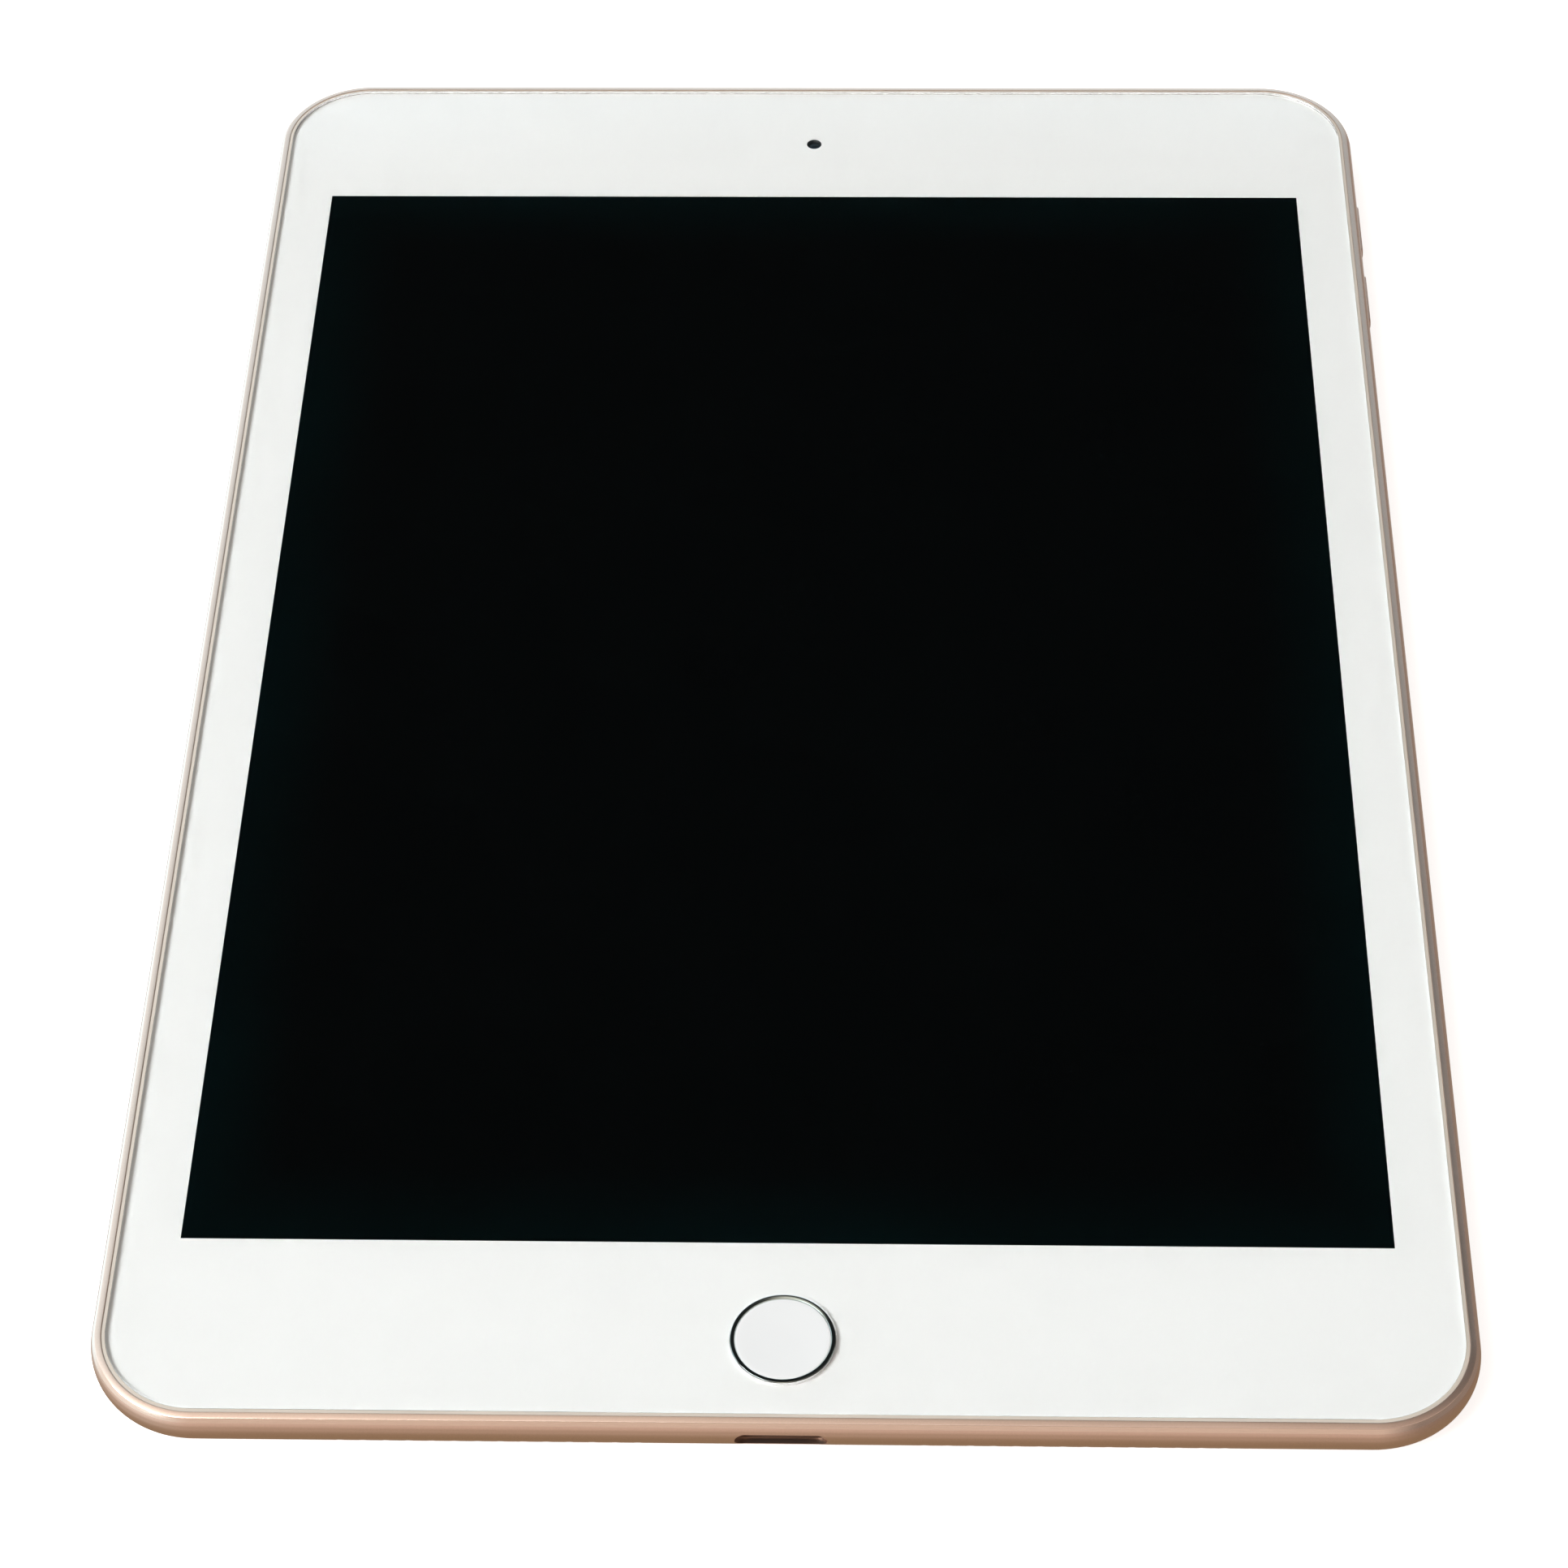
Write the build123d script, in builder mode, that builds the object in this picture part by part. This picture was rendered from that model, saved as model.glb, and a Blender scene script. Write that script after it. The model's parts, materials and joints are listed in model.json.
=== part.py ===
from build123d import *
import os
from math import pi, radians, tan

# Slate tablet computer with a round home button, all sizes in millimetres.
# The origin is the centre of the flat back. +Z comes out of the screen, +Y points to the
# end with the front camera, and +X to the right of someone who looks at the screen.

# ---------------------------------------------------------------- driving dimensions
WIDTH = 134.8
LENGTH = 203.2
THICKNESS = 6.1
CORNER_RADIUS = 11.0

# housing
BACK_WALL = 0.8
RIM_TOP = 6.0
RIM_CHAMFER = 0.6
SIDE_WALL = 4.0
CAVITY_RADIUS = CORNER_RADIUS - SIDE_WALL
LEDGE_Z = 5.3
BELLY_RISE = 2.4
BELLY_RUN = 4.2
BELLY_SIDE_RADIUS = 3.0
BELLY_BACK_RADIUS = 7.0

# front glass stack
GLASS_INSET = 1.6
GLASS_THICKNESS = 0.7
GLASS_BOTTOM = THICKNESS - GLASS_THICKNESS
MASK_THICKNESS = 0.05
MASK_INSET = 0.1
MASK_BOTTOM = GLASS_BOTTOM - MASK_THICKNESS
SURROUND_WIDTH = 0.3
GAP = 0.05

# display module
SCREEN_WIDTH = 119.7
SCREEN_LENGTH = 159.6
PAN_WIDTH = 124.8
PAN_LENGTH = 165.0
PAN_WALL = 0.15
PAN_BOTTOM = 3.75

# home button
HOME_Y = -91.4
RING_OUTER = 5.1
RING_INNER = 4.7
HOME_HOLE = 5.18

# side buttons, all measured inwards from the outer face of the wall
SIDE_BUTTON_Z = 4.0
POWER_X = 48.0
VOLUME_UP_Y = 75.1
VOLUME_DOWN_Y = 62.1
CAP_LENGTH = 9.0
CAP_HEIGHT = 1.5
CAP_PROUD = 0.15
FLANGE_START = 2.0
FLANGE_END = 2.6
FLANGE_LENGTH = 10.6
FLANGE_HEIGHT = 1.9
PLUNGER_END = 3.2
DOME_END = 3.5
SWITCH_END = 4.0
FLEX_END = 4.1
BRACKET_END = 4.3
SLOT_CLEARANCE = 0.08
POWER_BRACKET_SPAN = 13.6
VOLUME_BRACKET_SPAN = 27.2
BRACKET_HOLE_DEPTH = 1.8

# sockets, cameras and microphones
PORT_Z = 3.45
PORT_WIDTH = 8.9
PORT_HEIGHT = 2.3
SPEAKER_HOLES = 14
SPEAKER_PITCH = 2.2
SPEAKER_HOLE_RADIUS = 0.5
SPEAKER_X = 28.0
SPEAKER_Z = 2.2
JACK_X = -53.1
JACK_Z = 3.1
JACK_BORE = 1.78
JACK_DEPTH = 13.0
REAR_CAMERA = (57.0, 91.2)
REAR_CAMERA_HOLE = 3.8
REAR_MICROPHONE = (48.5, 91.2)
MICROPHONE_HOLE_RADIUS = 0.45
TOP_MICROPHONE_Z = 3.6
FRONT_CAMERA_Y = 90.0
FRONT_WINDOW = 0.95

# main board
BOARD_BOTTOM = 1.1
BOARD_THICKNESS = 0.7
BOARD_TOP = BOARD_BOTTOM + BOARD_THICKNESS
SHIELD_HEIGHT = 1.5
SHIELD_WALL = 0.15
CONNECTOR_TOP = BOARD_TOP + 0.9
BOARD_SCREWS = ((34.0, -57.5), (59.8, -57.5), (33.0, 66.0), (60.0, 73.5), (10.2, 93.2), (49.5, 81.0))

# charging socket
SOCKET_SCREWS = ((-7.5, -95.3), (7.5, -95.3))
EAR_BOTTOM = BACK_WALL + 1.02
EAR_TOP = EAR_BOTTOM + 0.5

VOLUME_MIDDLE_Y = (VOLUME_UP_Y + VOLUME_DOWN_Y) / 2
HALF_WIDTH = WIDTH / 2
HALF_LENGTH = LENGTH / 2
CAVITY_WIDTH = WIDTH - 2 * SIDE_WALL
CAVITY_LENGTH = LENGTH - 2 * SIDE_WALL
GLASS_WIDTH = WIDTH - 2 * GLASS_INSET
GLASS_LENGTH = LENGTH - 2 * GLASS_INSET
GLASS_RADIUS = CORNER_RADIUS - GLASS_INSET
HOME = (0, HOME_Y)

os.makedirs("parts", exist_ok=True)


def finish(piece, name):
    """Labels a finished sub-part and writes its STEP file."""
    piece.part.label = name
    export_step(piece.part, f"parts/{name}.step")


def side_plane(x, y, outward, along):
    """A plane on the outer face of a side wall: its normal points out and its X runs along the wall."""
    return Plane(origin=(x, y, SIDE_BUTTON_Z), x_dir=along, z_dir=outward)


def cross_plane_x(x):
    """The plane X = x, drawn on as (y, z)."""
    return Plane(origin=(x, 0, 0), x_dir=(0, 1, 0), z_dir=(1, 0, 0))


def cross_plane_y(y):
    """The plane Y = y, drawn on as (x, z), with its normal along -Y."""
    return Plane(origin=(0, y, 0), x_dir=(1, 0, 0), z_dir=(0, -1, 0))


POWER_PLANE = side_plane(POWER_X, HALF_LENGTH, (0, 1, 0), (-1, 0, 0))
VOLUME_UP_PLANE = side_plane(HALF_WIDTH, VOLUME_UP_Y, (1, 0, 0), (0, 1, 0))
VOLUME_DOWN_PLANE = side_plane(HALF_WIDTH, VOLUME_DOWN_Y, (1, 0, 0), (0, 1, 0))
SIDE_BUTTON_PLANES = (POWER_PLANE, VOLUME_UP_PLANE, VOLUME_DOWN_PLANE)

# ---------------------------------------------------------------- rear housing
with BuildPart() as rear_housing:
    with BuildSketch():
        RectangleRounded(WIDTH, LENGTH, CORNER_RADIUS)
    extrude(amount=RIM_TOP)
    back_face = rear_housing.faces().sort_by(Axis.Z)[0]
    chamfer(back_face.edges(), length=BELLY_RUN, length2=BELLY_RISE, reference=back_face)
    fillet(rear_housing.edges().group_by(Axis.Z)[2], radius=BELLY_SIDE_RADIUS)
    fillet(rear_housing.edges().group_by(Axis.Z)[0], radius=BELLY_BACK_RADIUS)
    chamfer(rear_housing.faces().sort_by(Axis.Z)[-1].edges(), RIM_CHAMFER)
    # main cavity and the recess that the glass drops into
    with BuildSketch(Plane.XY.offset(BACK_WALL)):
        RectangleRounded(CAVITY_WIDTH, CAVITY_LENGTH, CAVITY_RADIUS)
    extrude(amount=RIM_TOP, mode=Mode.SUBTRACT)
    recess = GLASS_INSET - SURROUND_WIDTH - 2 * GAP
    with BuildSketch(Plane.XY.offset(LEDGE_Z)):
        RectangleRounded(WIDTH - 2 * recess, LENGTH - 2 * recess, CORNER_RADIUS - recess)
    extrude(amount=RIM_TOP, mode=Mode.SUBTRACT)
    # charging port and speaker holes through the bottom wall
    with BuildSketch(cross_plane_y(-HALF_LENGTH + SIDE_WALL + 1)):
        with Locations((0, PORT_Z)):
            SlotOverall(PORT_WIDTH, PORT_HEIGHT)
        for side in (-1, 1):
            with Locations((side * SPEAKER_X, SPEAKER_Z)):
                with GridLocations(SPEAKER_PITCH, 1, SPEAKER_HOLES, 1):
                    Circle(SPEAKER_HOLE_RADIUS)
    extrude(amount=SIDE_WALL + 2, mode=Mode.SUBTRACT)
    # headphone jack and top microphone holes
    with BuildSketch(cross_plane_y(HALF_LENGTH + 1)):
        with Locations((JACK_X, JACK_Z)):
            Circle(JACK_BORE + 0.25)
        with Locations((0, TOP_MICROPHONE_Z)):
            Circle(MICROPHONE_HOLE_RADIUS)
    extrude(amount=SIDE_WALL + 2, mode=Mode.SUBTRACT)
    # rear camera and rear microphone holes through the back wall
    with BuildSketch(Plane.XY.offset(-1)):
        with Locations(REAR_CAMERA):
            Circle(REAR_CAMERA_HOLE)
        with Locations(REAR_MICROPHONE):
            Circle(MICROPHONE_HOLE_RADIUS)
    extrude(amount=BACK_WALL + 2, mode=Mode.SUBTRACT)
    # side button slots, each with a wider pocket on the inside for the button's flange
    for plane in SIDE_BUTTON_PLANES:
        with BuildSketch(plane.offset(-SIDE_WALL - 1)):
            SlotOverall(CAP_LENGTH + 2 * SLOT_CLEARANCE, CAP_HEIGHT + 2 * SLOT_CLEARANCE)
        extrude(amount=SIDE_WALL + 2, mode=Mode.SUBTRACT)
        with BuildSketch(plane.offset(-SIDE_WALL - 1)):
            RectangleRounded(FLANGE_LENGTH + 0.8, FLANGE_HEIGHT + 0.1, 0.5)
        extrude(amount=SIDE_WALL + 1 - FLANGE_START + GAP, mode=Mode.SUBTRACT)
    # standoffs for the board and the charging socket, drilled for their screws
    with BuildSketch(Plane.XY.offset(BACK_WALL)):
        with Locations(*BOARD_SCREWS):
            Circle(1.5)
    extrude(amount=BOARD_BOTTOM - BACK_WALL)
    with BuildSketch(Plane.XY.offset(BACK_WALL)):
        with Locations(*SOCKET_SCREWS):
            Circle(1.2)
    extrude(amount=1.0)
    with BuildSketch(Plane.XY.offset(0.35)):
        with Locations(*BOARD_SCREWS, *SOCKET_SCREWS):
            Circle(0.6)
    extrude(amount=2, mode=Mode.SUBTRACT)
    # blind holes for the button brackets' screws
    with BuildSketch(cross_plane_y(HALF_LENGTH - SIDE_WALL + BRACKET_HOLE_DEPTH)):
        with Locations((POWER_X, SIDE_BUTTON_Z)):
            with GridLocations(POWER_BRACKET_SPAN, 1, 2, 1):
                Circle(0.5)
    extrude(amount=BRACKET_HOLE_DEPTH, mode=Mode.SUBTRACT)
    with BuildSketch(cross_plane_x(HALF_WIDTH - SIDE_WALL)):
        with Locations((VOLUME_MIDDLE_Y, SIDE_BUTTON_Z)):
            with GridLocations(VOLUME_BRACKET_SPAN, 1, 2, 1):
                Circle(0.5)
    extrude(amount=BRACKET_HOLE_DEPTH, mode=Mode.SUBTRACT)
finish(rear_housing, "rear_housing")

# ---------------------------------------------------------------- front glass stack
with BuildPart() as cover_glass:
    with BuildSketch(Plane.XY.offset(GLASS_BOTTOM)):
        RectangleRounded(GLASS_WIDTH, GLASS_LENGTH, GLASS_RADIUS)
        with Locations(HOME):
            Circle(HOME_HOLE, mode=Mode.SUBTRACT)
    extrude(amount=GLASS_THICKNESS)
    outer_rim = cover_glass.faces().sort_by(Axis.Z)[-1].outer_wire().edges()
    fillet(outer_rim, radius=0.25)
    hole_rim = cover_glass.faces().sort_by(Axis.Z)[-1].inner_wires()[0].edges()
    chamfer(hole_rim, 0.08)
finish(cover_glass, "cover_glass")

with BuildPart() as bezel_mask:
    with BuildSketch(Plane.XY.offset(MASK_BOTTOM)):
        RectangleRounded(
            GLASS_WIDTH - 2 * MASK_INSET,
            GLASS_LENGTH - 2 * MASK_INSET,
            GLASS_RADIUS - MASK_INSET,
        )
        Rectangle(SCREEN_WIDTH, SCREEN_LENGTH, mode=Mode.SUBTRACT)
        with Locations(HOME):
            Circle(HOME_HOLE, mode=Mode.SUBTRACT)
        with Locations((0, FRONT_CAMERA_Y)):
            Circle(FRONT_WINDOW, mode=Mode.SUBTRACT)
    extrude(amount=MASK_THICKNESS)
finish(bezel_mask, "bezel_mask")

with BuildPart() as glass_surround:
    surround_outer = GLASS_INSET - GAP - SURROUND_WIDTH
    with BuildSketch(Plane.XY.offset(LEDGE_Z)):
        RectangleRounded(
            WIDTH - 2 * surround_outer, LENGTH - 2 * surround_outer, CORNER_RADIUS - surround_outer
        )
        RectangleRounded(
            GLASS_WIDTH + 2 * GAP, GLASS_LENGTH + 2 * GAP, GLASS_RADIUS + GAP, mode=Mode.SUBTRACT
        )
    extrude(amount=RIM_TOP - LEDGE_Z - 0.02)
finish(glass_surround, "glass_surround")

with BuildPart() as glass_adhesive:
    with BuildSketch(Plane.XY.offset(LEDGE_Z)):
        RectangleRounded(GLASS_WIDTH - 0.6, GLASS_LENGTH - 0.6, GLASS_RADIUS - 0.3)
        RectangleRounded(CAVITY_WIDTH + 0.4, CAVITY_LENGTH + 0.4, CAVITY_RADIUS + 0.2, mode=Mode.SUBTRACT)
    extrude(amount=MASK_BOTTOM - LEDGE_Z)
finish(glass_adhesive, "glass_adhesive")

# ---------------------------------------------------------------- display module
with BuildPart() as display_rear_pan:
    with BuildSketch(Plane.XY.offset(PAN_BOTTOM)):
        RectangleRounded(PAN_WIDTH, PAN_LENGTH, 0.6)
    extrude(amount=1.45)
    with BuildSketch(Plane.XY.offset(PAN_BOTTOM + PAN_WALL)):
        RectangleRounded(PAN_WIDTH - 2 * PAN_WALL, PAN_LENGTH - 2 * PAN_WALL, 0.45)
    extrude(amount=2, mode=Mode.SUBTRACT)
finish(display_rear_pan, "display_rear_pan")

with BuildPart() as display_backlight:
    with BuildSketch(Plane.XY.offset(PAN_BOTTOM + PAN_WALL)):
        RectangleRounded(124.0, 164.2, 0.4)
    extrude(amount=0.75)
finish(display_backlight, "display_backlight")

with BuildPart() as display_panel:
    with BuildSketch(Plane.XY.offset(4.7)):
        Rectangle(124.0, 164.2)
    extrude(amount=MASK_BOTTOM - 4.7)
finish(display_panel, "display_panel")

with BuildPart() as display_driver_board:
    with BuildSketch(Plane.XY.offset(3.57)):
        with Locations((0, -76.5)):
            RectangleRounded(108, 7, 1)
    extrude(amount=0.18)
finish(display_driver_board, "display_driver_board")


def ribbon(plane, points, bend_radius, width, thickness=0.1):
    """A flat flexible cable: a thin bent strip drawn edge-on in plane, width across it."""
    with BuildPart() as strip:
        with BuildSketch(plane):
            with BuildLine():
                FilletPolyline(*points, radius=bend_radius)
            trace(line_width=thickness)
        extrude(amount=width / 2, both=True)
    return strip


display_flex = ribbon(cross_plane_x(47), [(-73.2, 3.51), (-66, 3.51), (-62, 2.76), (-52.5, 2.76)], 0.8, 13)
finish(display_flex, "display_flex")

# ---------------------------------------------------------------- home button, moving pieces
CARRIER_TOP = 5.05
CAP_TOP = THICKNESS - 0.1
with BuildPart() as home_button_cap:
    with BuildSketch(Plane.XY.offset(5.35)):
        with Locations(HOME):
            Circle(RING_INNER - 0.02)
    extrude(amount=CAP_TOP - 5.35)
    fillet(home_button_cap.faces().sort_by(Axis.Z)[-1].edges(), radius=0.1)
finish(home_button_cap, "home_button_cap")

with BuildPart() as home_button_ring:
    with BuildSketch(Plane.XY.offset(CARRIER_TOP)):
        with Locations(HOME):
            Circle(RING_OUTER)
            Circle(RING_INNER, mode=Mode.SUBTRACT)
    extrude(amount=THICKNESS - 0.04 - CARRIER_TOP)
    ring_top = home_button_ring.faces().sort_by(Axis.Z)[-1]
    chamfer(ring_top.inner_wires()[0].edges(), length=0.16)
    chamfer(home_button_ring.faces().sort_by(Axis.Z)[-1].outer_wire().edges(), length=0.06)
finish(home_button_ring, "home_button_ring")

with BuildPart() as home_button_carrier:
    with BuildSketch(Plane.XY.offset(CARRIER_TOP - 0.3)):
        with Locations(HOME):
            Circle(5.7)
    extrude(amount=0.3)
    with BuildSketch(Plane.XY.offset(CARRIER_TOP)):
        with Locations(HOME):
            Circle(RING_INNER - 0.1)
    extrude(amount=0.3)
    with BuildSketch(Plane.XY.offset(4.47)):
        with Locations(HOME):
            Circle(0.9)
    extrude(amount=CARRIER_TOP - 0.3 - 4.47)
finish(home_button_carrier, "home_button_carrier")

# ---------------------------------------------------------------- home button, fixed pieces
with BuildPart() as home_button_gasket:
    with BuildSketch(Plane.XY.offset(CARRIER_TOP + GAP)):
        with Locations(HOME):
            Circle(6.1)
            Circle(5.25, mode=Mode.SUBTRACT)
    extrude(amount=MASK_BOTTOM - CARRIER_TOP - GAP)
finish(home_button_gasket, "home_button_gasket")

HOME_SWITCH_BOTTOM = 4.0
HOME_SWITCH_TOP = 4.17
with BuildPart() as home_button_bracket:
    with BuildSketch(cross_plane_y(HOME_Y + 1)):
        with BuildLine():
            FilletPolyline(
                (-13.2, 5.275),
                (-10.6, 5.275),
                (-10.6, 3.925),
                (10.6, 3.925),
                (10.6, 5.275),
                (13.2, 5.275),
                radius=0.3,
            )
        trace(line_width=0.15)
    extrude(amount=3, both=True)
finish(home_button_bracket, "home_button_bracket")

with BuildPart() as home_button_dome:
    with BuildSketch(cross_plane_y(HOME_Y)):
        with BuildLine():
            dome_arc = ThreePointArc((0, 4.45), (0.75, 4.38), (1.4, HOME_SWITCH_TOP))
            Polyline(dome_arc @ 1, (0, HOME_SWITCH_TOP), dome_arc @ 0)
        make_face()
    revolve(axis=Axis((0, HOME_Y, 0), (0, 0, 1)))
finish(home_button_dome, "home_button_dome")

HOME_FLEX_ROUTE = [(-92.6, 3.79), (-85.0, 3.79), (-84.0, 1.05), (-81.5, 1.05)]
home_button_flex = ribbon(cross_plane_x(0), HOME_FLEX_ROUTE, 0.5, 5)
finish(home_button_flex, "home_button_flex")


# ---------------------------------------------------------------- side buttons
def side_button(plane):
    """An oblong key cap with a retaining flange and a plunger, as one moulding."""
    with BuildPart() as button:
        with BuildSketch(plane.offset(-FLANGE_START)):
            SlotOverall(CAP_LENGTH, CAP_HEIGHT)
        extrude(amount=FLANGE_START + CAP_PROUD)
        outer_face = button.faces().sort_by(Axis(plane.origin, plane.z_dir))[-1]
        fillet(outer_face.edges(), radius=0.2)
        with BuildSketch(plane.offset(-FLANGE_END)):
            RectangleRounded(FLANGE_LENGTH, FLANGE_HEIGHT, 0.45)
        extrude(amount=FLANGE_END - FLANGE_START)
        with BuildSketch(plane.offset(-PLUNGER_END)):
            Circle(0.5)
        extrude(amount=PLUNGER_END - FLANGE_END)
    return button


def dome(plane):
    """The snap dome that a side button presses, its flat side against the switch."""
    with BuildPart() as disc:
        with BuildSketch(plane.offset(-DOME_END)):
            Circle(0.95)
        extrude(amount=DOME_END - PLUNGER_END - 0.02, taper=30)
    return disc


for button_name, dome_name, plane in (
    ("power_button", "power_button_dome", POWER_PLANE),
    ("volume_up_button", "volume_up_dome", VOLUME_UP_PLANE),
    ("volume_down_button", "volume_down_dome", VOLUME_DOWN_PLANE),
):
    finish(side_button(plane), button_name)
    finish(dome(plane), dome_name)

with BuildPart() as button_switches:
    for plane in SIDE_BUTTON_PLANES:
        with BuildSketch(plane.offset(-SWITCH_END)):
            RectangleRounded(3.4, 1.8, 0.3)
        extrude(amount=SWITCH_END - DOME_END)
    with BuildSketch(Plane.XY.offset(HOME_SWITCH_BOTTOM)):
        with Locations(HOME):
            RectangleRounded(3.2, 3.2, 0.4)
    extrude(amount=HOME_SWITCH_TOP - HOME_SWITCH_BOTTOM)
finish(button_switches, "button_switches")

with BuildPart() as power_flex:
    with BuildSketch(POWER_PLANE.offset(-FLEX_END)):
        Rectangle(9, 1.8)
    extrude(amount=FLEX_END - SWITCH_END)
    tail = ribbon(cross_plane_x(POWER_X - 1), [(97.55, 3.3), (97.55, 2.76), (85.5, 2.76)], 0.3, 4)
    add(tail.part)
finish(power_flex, "power_flex")

with BuildPart() as volume_flex:
    with BuildSketch(cross_plane_x(HALF_WIDTH - FLEX_END)):
        with Locations((VOLUME_MIDDLE_Y, SIDE_BUTTON_Z)):
            Rectangle(24, 1.8)
    extrude(amount=FLEX_END - SWITCH_END)
    tail = ribbon(cross_plane_y(68), [(63.35, 3.3), (63.35, 2.76), (57.2, 2.76)], 0.3, 4)
    add(tail.part)
finish(volume_flex, "volume_flex")

BRACKET_THICKNESS = BRACKET_END - FLEX_END
with BuildPart() as power_bracket:
    with BuildSketch(cross_plane_y(HALF_LENGTH - BRACKET_END)):
        with Locations((POWER_X, SIDE_BUTTON_Z)):
            RectangleRounded(POWER_BRACKET_SPAN + 2.2, 2.0, 0.5)
            with GridLocations(POWER_BRACKET_SPAN, 1, 2, 1):
                Circle(0.5, mode=Mode.SUBTRACT)
    extrude(amount=-BRACKET_THICKNESS)
finish(power_bracket, "power_bracket")

with BuildPart() as volume_bracket:
    with BuildSketch(cross_plane_x(HALF_WIDTH - BRACKET_END)):
        with Locations((VOLUME_MIDDLE_Y, SIDE_BUTTON_Z)):
            RectangleRounded(VOLUME_BRACKET_SPAN + 2.2, 2.0, 0.5)
            with GridLocations(VOLUME_BRACKET_SPAN, 1, 2, 1):
                Circle(0.5, mode=Mode.SUBTRACT)
    extrude(amount=BRACKET_THICKNESS)
finish(volume_bracket, "volume_bracket")


def screw(head_plane, head_radius, shank_radius, shank_length, head_height):
    """A pan-head screw with a cross recess: head above head_plane, shank below it."""
    with BuildPart() as fastener:
        with BuildSketch(head_plane):
            Circle(head_radius)
        extrude(amount=head_height)
        with BuildSketch(head_plane.offset(-shank_length)):
            Circle(shank_radius)
        extrude(amount=shank_length)
        with BuildSketch(head_plane.offset(head_height)):
            Rectangle(head_radius * 1.2, head_radius * 0.3)
            Rectangle(head_radius * 0.3, head_radius * 1.2)
        extrude(amount=-head_height * 0.6, mode=Mode.SUBTRACT)
    return fastener


with BuildPart() as bracket_screws:
    for side in (-1, 1):
        screw_x = POWER_X + side * POWER_BRACKET_SPAN / 2
        top_head = Plane(
            origin=(screw_x, HALF_LENGTH - BRACKET_END, SIDE_BUTTON_Z), x_dir=(1, 0, 0), z_dir=(0, -1, 0)
        )
        add(screw(top_head, 0.8, 0.42, 1.5, 0.35).part)
        screw_y = VOLUME_MIDDLE_Y + side * VOLUME_BRACKET_SPAN / 2
        side_head = Plane(
            origin=(HALF_WIDTH - BRACKET_END, screw_y, SIDE_BUTTON_Z), x_dir=(0, 1, 0), z_dir=(-1, 0, 0)
        )
        add(screw(side_head, 0.8, 0.42, 1.5, 0.35).part)
finish(bracket_screws, "bracket_screws")

# ---------------------------------------------------------------- battery
CELL_BOTTOM = BACK_WALL + 0.05
CELL_WIDTH = 45.0
CELL_LENGTH = 145.0
for cell_name, cell_x in (("battery_cell_left", -39.4), ("battery_cell_right", 6.6)):
    with BuildPart() as battery_cell:
        with BuildSketch(Plane.XY.offset(CELL_BOTTOM)):
            with Locations((cell_x, -2)):
                RectangleRounded(CELL_WIDTH, CELL_LENGTH, 1.5)
        extrude(amount=2.6)
        fillet(battery_cell.faces().sort_by(Axis.Z)[-1].edges(), radius=0.6)
    finish(battery_cell, cell_name)

with BuildPart() as battery_board:
    with BuildSketch(Plane.XY.offset(1.0)):
        with Locations((-2, 74.2)):
            RectangleRounded(56, 4.8, 0.8)
    extrude(amount=0.6)
    with BuildSketch(Plane.XY.offset(1.6)):
        with Locations((-14, 74.2)):
            with GridLocations(6, 1, 4, 1):
                Rectangle(3.4, 2.6)
        with Locations((8, 74.2)):
            with GridLocations(2.2, 1.6, 3, 2):
                Rectangle(1.2, 0.7)
    extrude(amount=0.7)
finish(battery_board, "battery_board")

battery_flex = ribbon(cross_plane_y(74.2), [(17, 1.66), (28.5, 1.66), (31.6, 2.76), (38, 2.76)], 0.6, 3.6)
finish(battery_flex, "battery_flex")

# ---------------------------------------------------------------- main board
MAIN_BOARD_OUTLINE = (
    (31.5, -60),
    (62, -60),
    (62, 84),
    (52, 84),
    (52, 89),
    (43, 89),
    (43, 95),
    (8, 95),
    (8, 79),
    (31.5, 79),
)
with BuildPart() as main_board:
    with BuildSketch(Plane.XY.offset(BOARD_BOTTOM)):
        with BuildLine():
            Polyline(*MAIN_BOARD_OUTLINE, close=True)
        make_face()
        with Locations(*BOARD_SCREWS):
            Circle(0.75, mode=Mode.SUBTRACT)
    extrude(amount=BOARD_THICKNESS)
    fillet(main_board.edges().filter_by(Axis.Z).filter_by(GeomType.LINE), radius=0.7)
finish(main_board, "main_board")

SHIELDS = (
    ("processor_shield", 46.5, 43.0, 27.0, 36.0),
    ("radio_shield", 46.5, 8.0, 27.0, 26.0),
    ("power_shield", 46.5, -29.0, 27.0, 38.0),
)
for shield_name, shield_x, shield_y, shield_width, shield_length in SHIELDS:
    with BuildPart() as shield:
        with BuildSketch(Plane.XY.offset(BOARD_TOP)):
            with Locations((shield_x, shield_y)):
                RectangleRounded(shield_width, shield_length, 0.8)
        extrude(amount=SHIELD_HEIGHT)
        fillet(shield.faces().sort_by(Axis.Z)[-1].edges(), radius=0.3)
        with BuildSketch(Plane.XY.offset(BOARD_TOP)):
            with Locations((shield_x, shield_y)):
                RectangleRounded(shield_width - 2 * SHIELD_WALL, shield_length - 2 * SHIELD_WALL, 0.65)
        extrude(amount=SHIELD_HEIGHT - SHIELD_WALL, mode=Mode.SUBTRACT)
    finish(shield, shield_name)


def package(name, x, y, width, length, height):
    """A chip package soldered on the board, with a bevelled pin-one corner."""
    with BuildPart() as chip:
        with BuildSketch(Plane.XY.offset(BOARD_TOP)):
            with Locations((x, y)):
                Rectangle(width, length)
        extrude(amount=height)
        corner = chip.edges().filter_by(Axis.Z).sort_by(Axis.X)[:2].sort_by(Axis.Y)[-1]
        chamfer(corner, 0.6)
    finish(chip, name)


package("processor_chip", 45.0, 50.5, 14.0, 14.5, 1.0)
package("storage_chip", 46.0, 33.5, 12.0, 14.0, 0.9)

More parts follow.
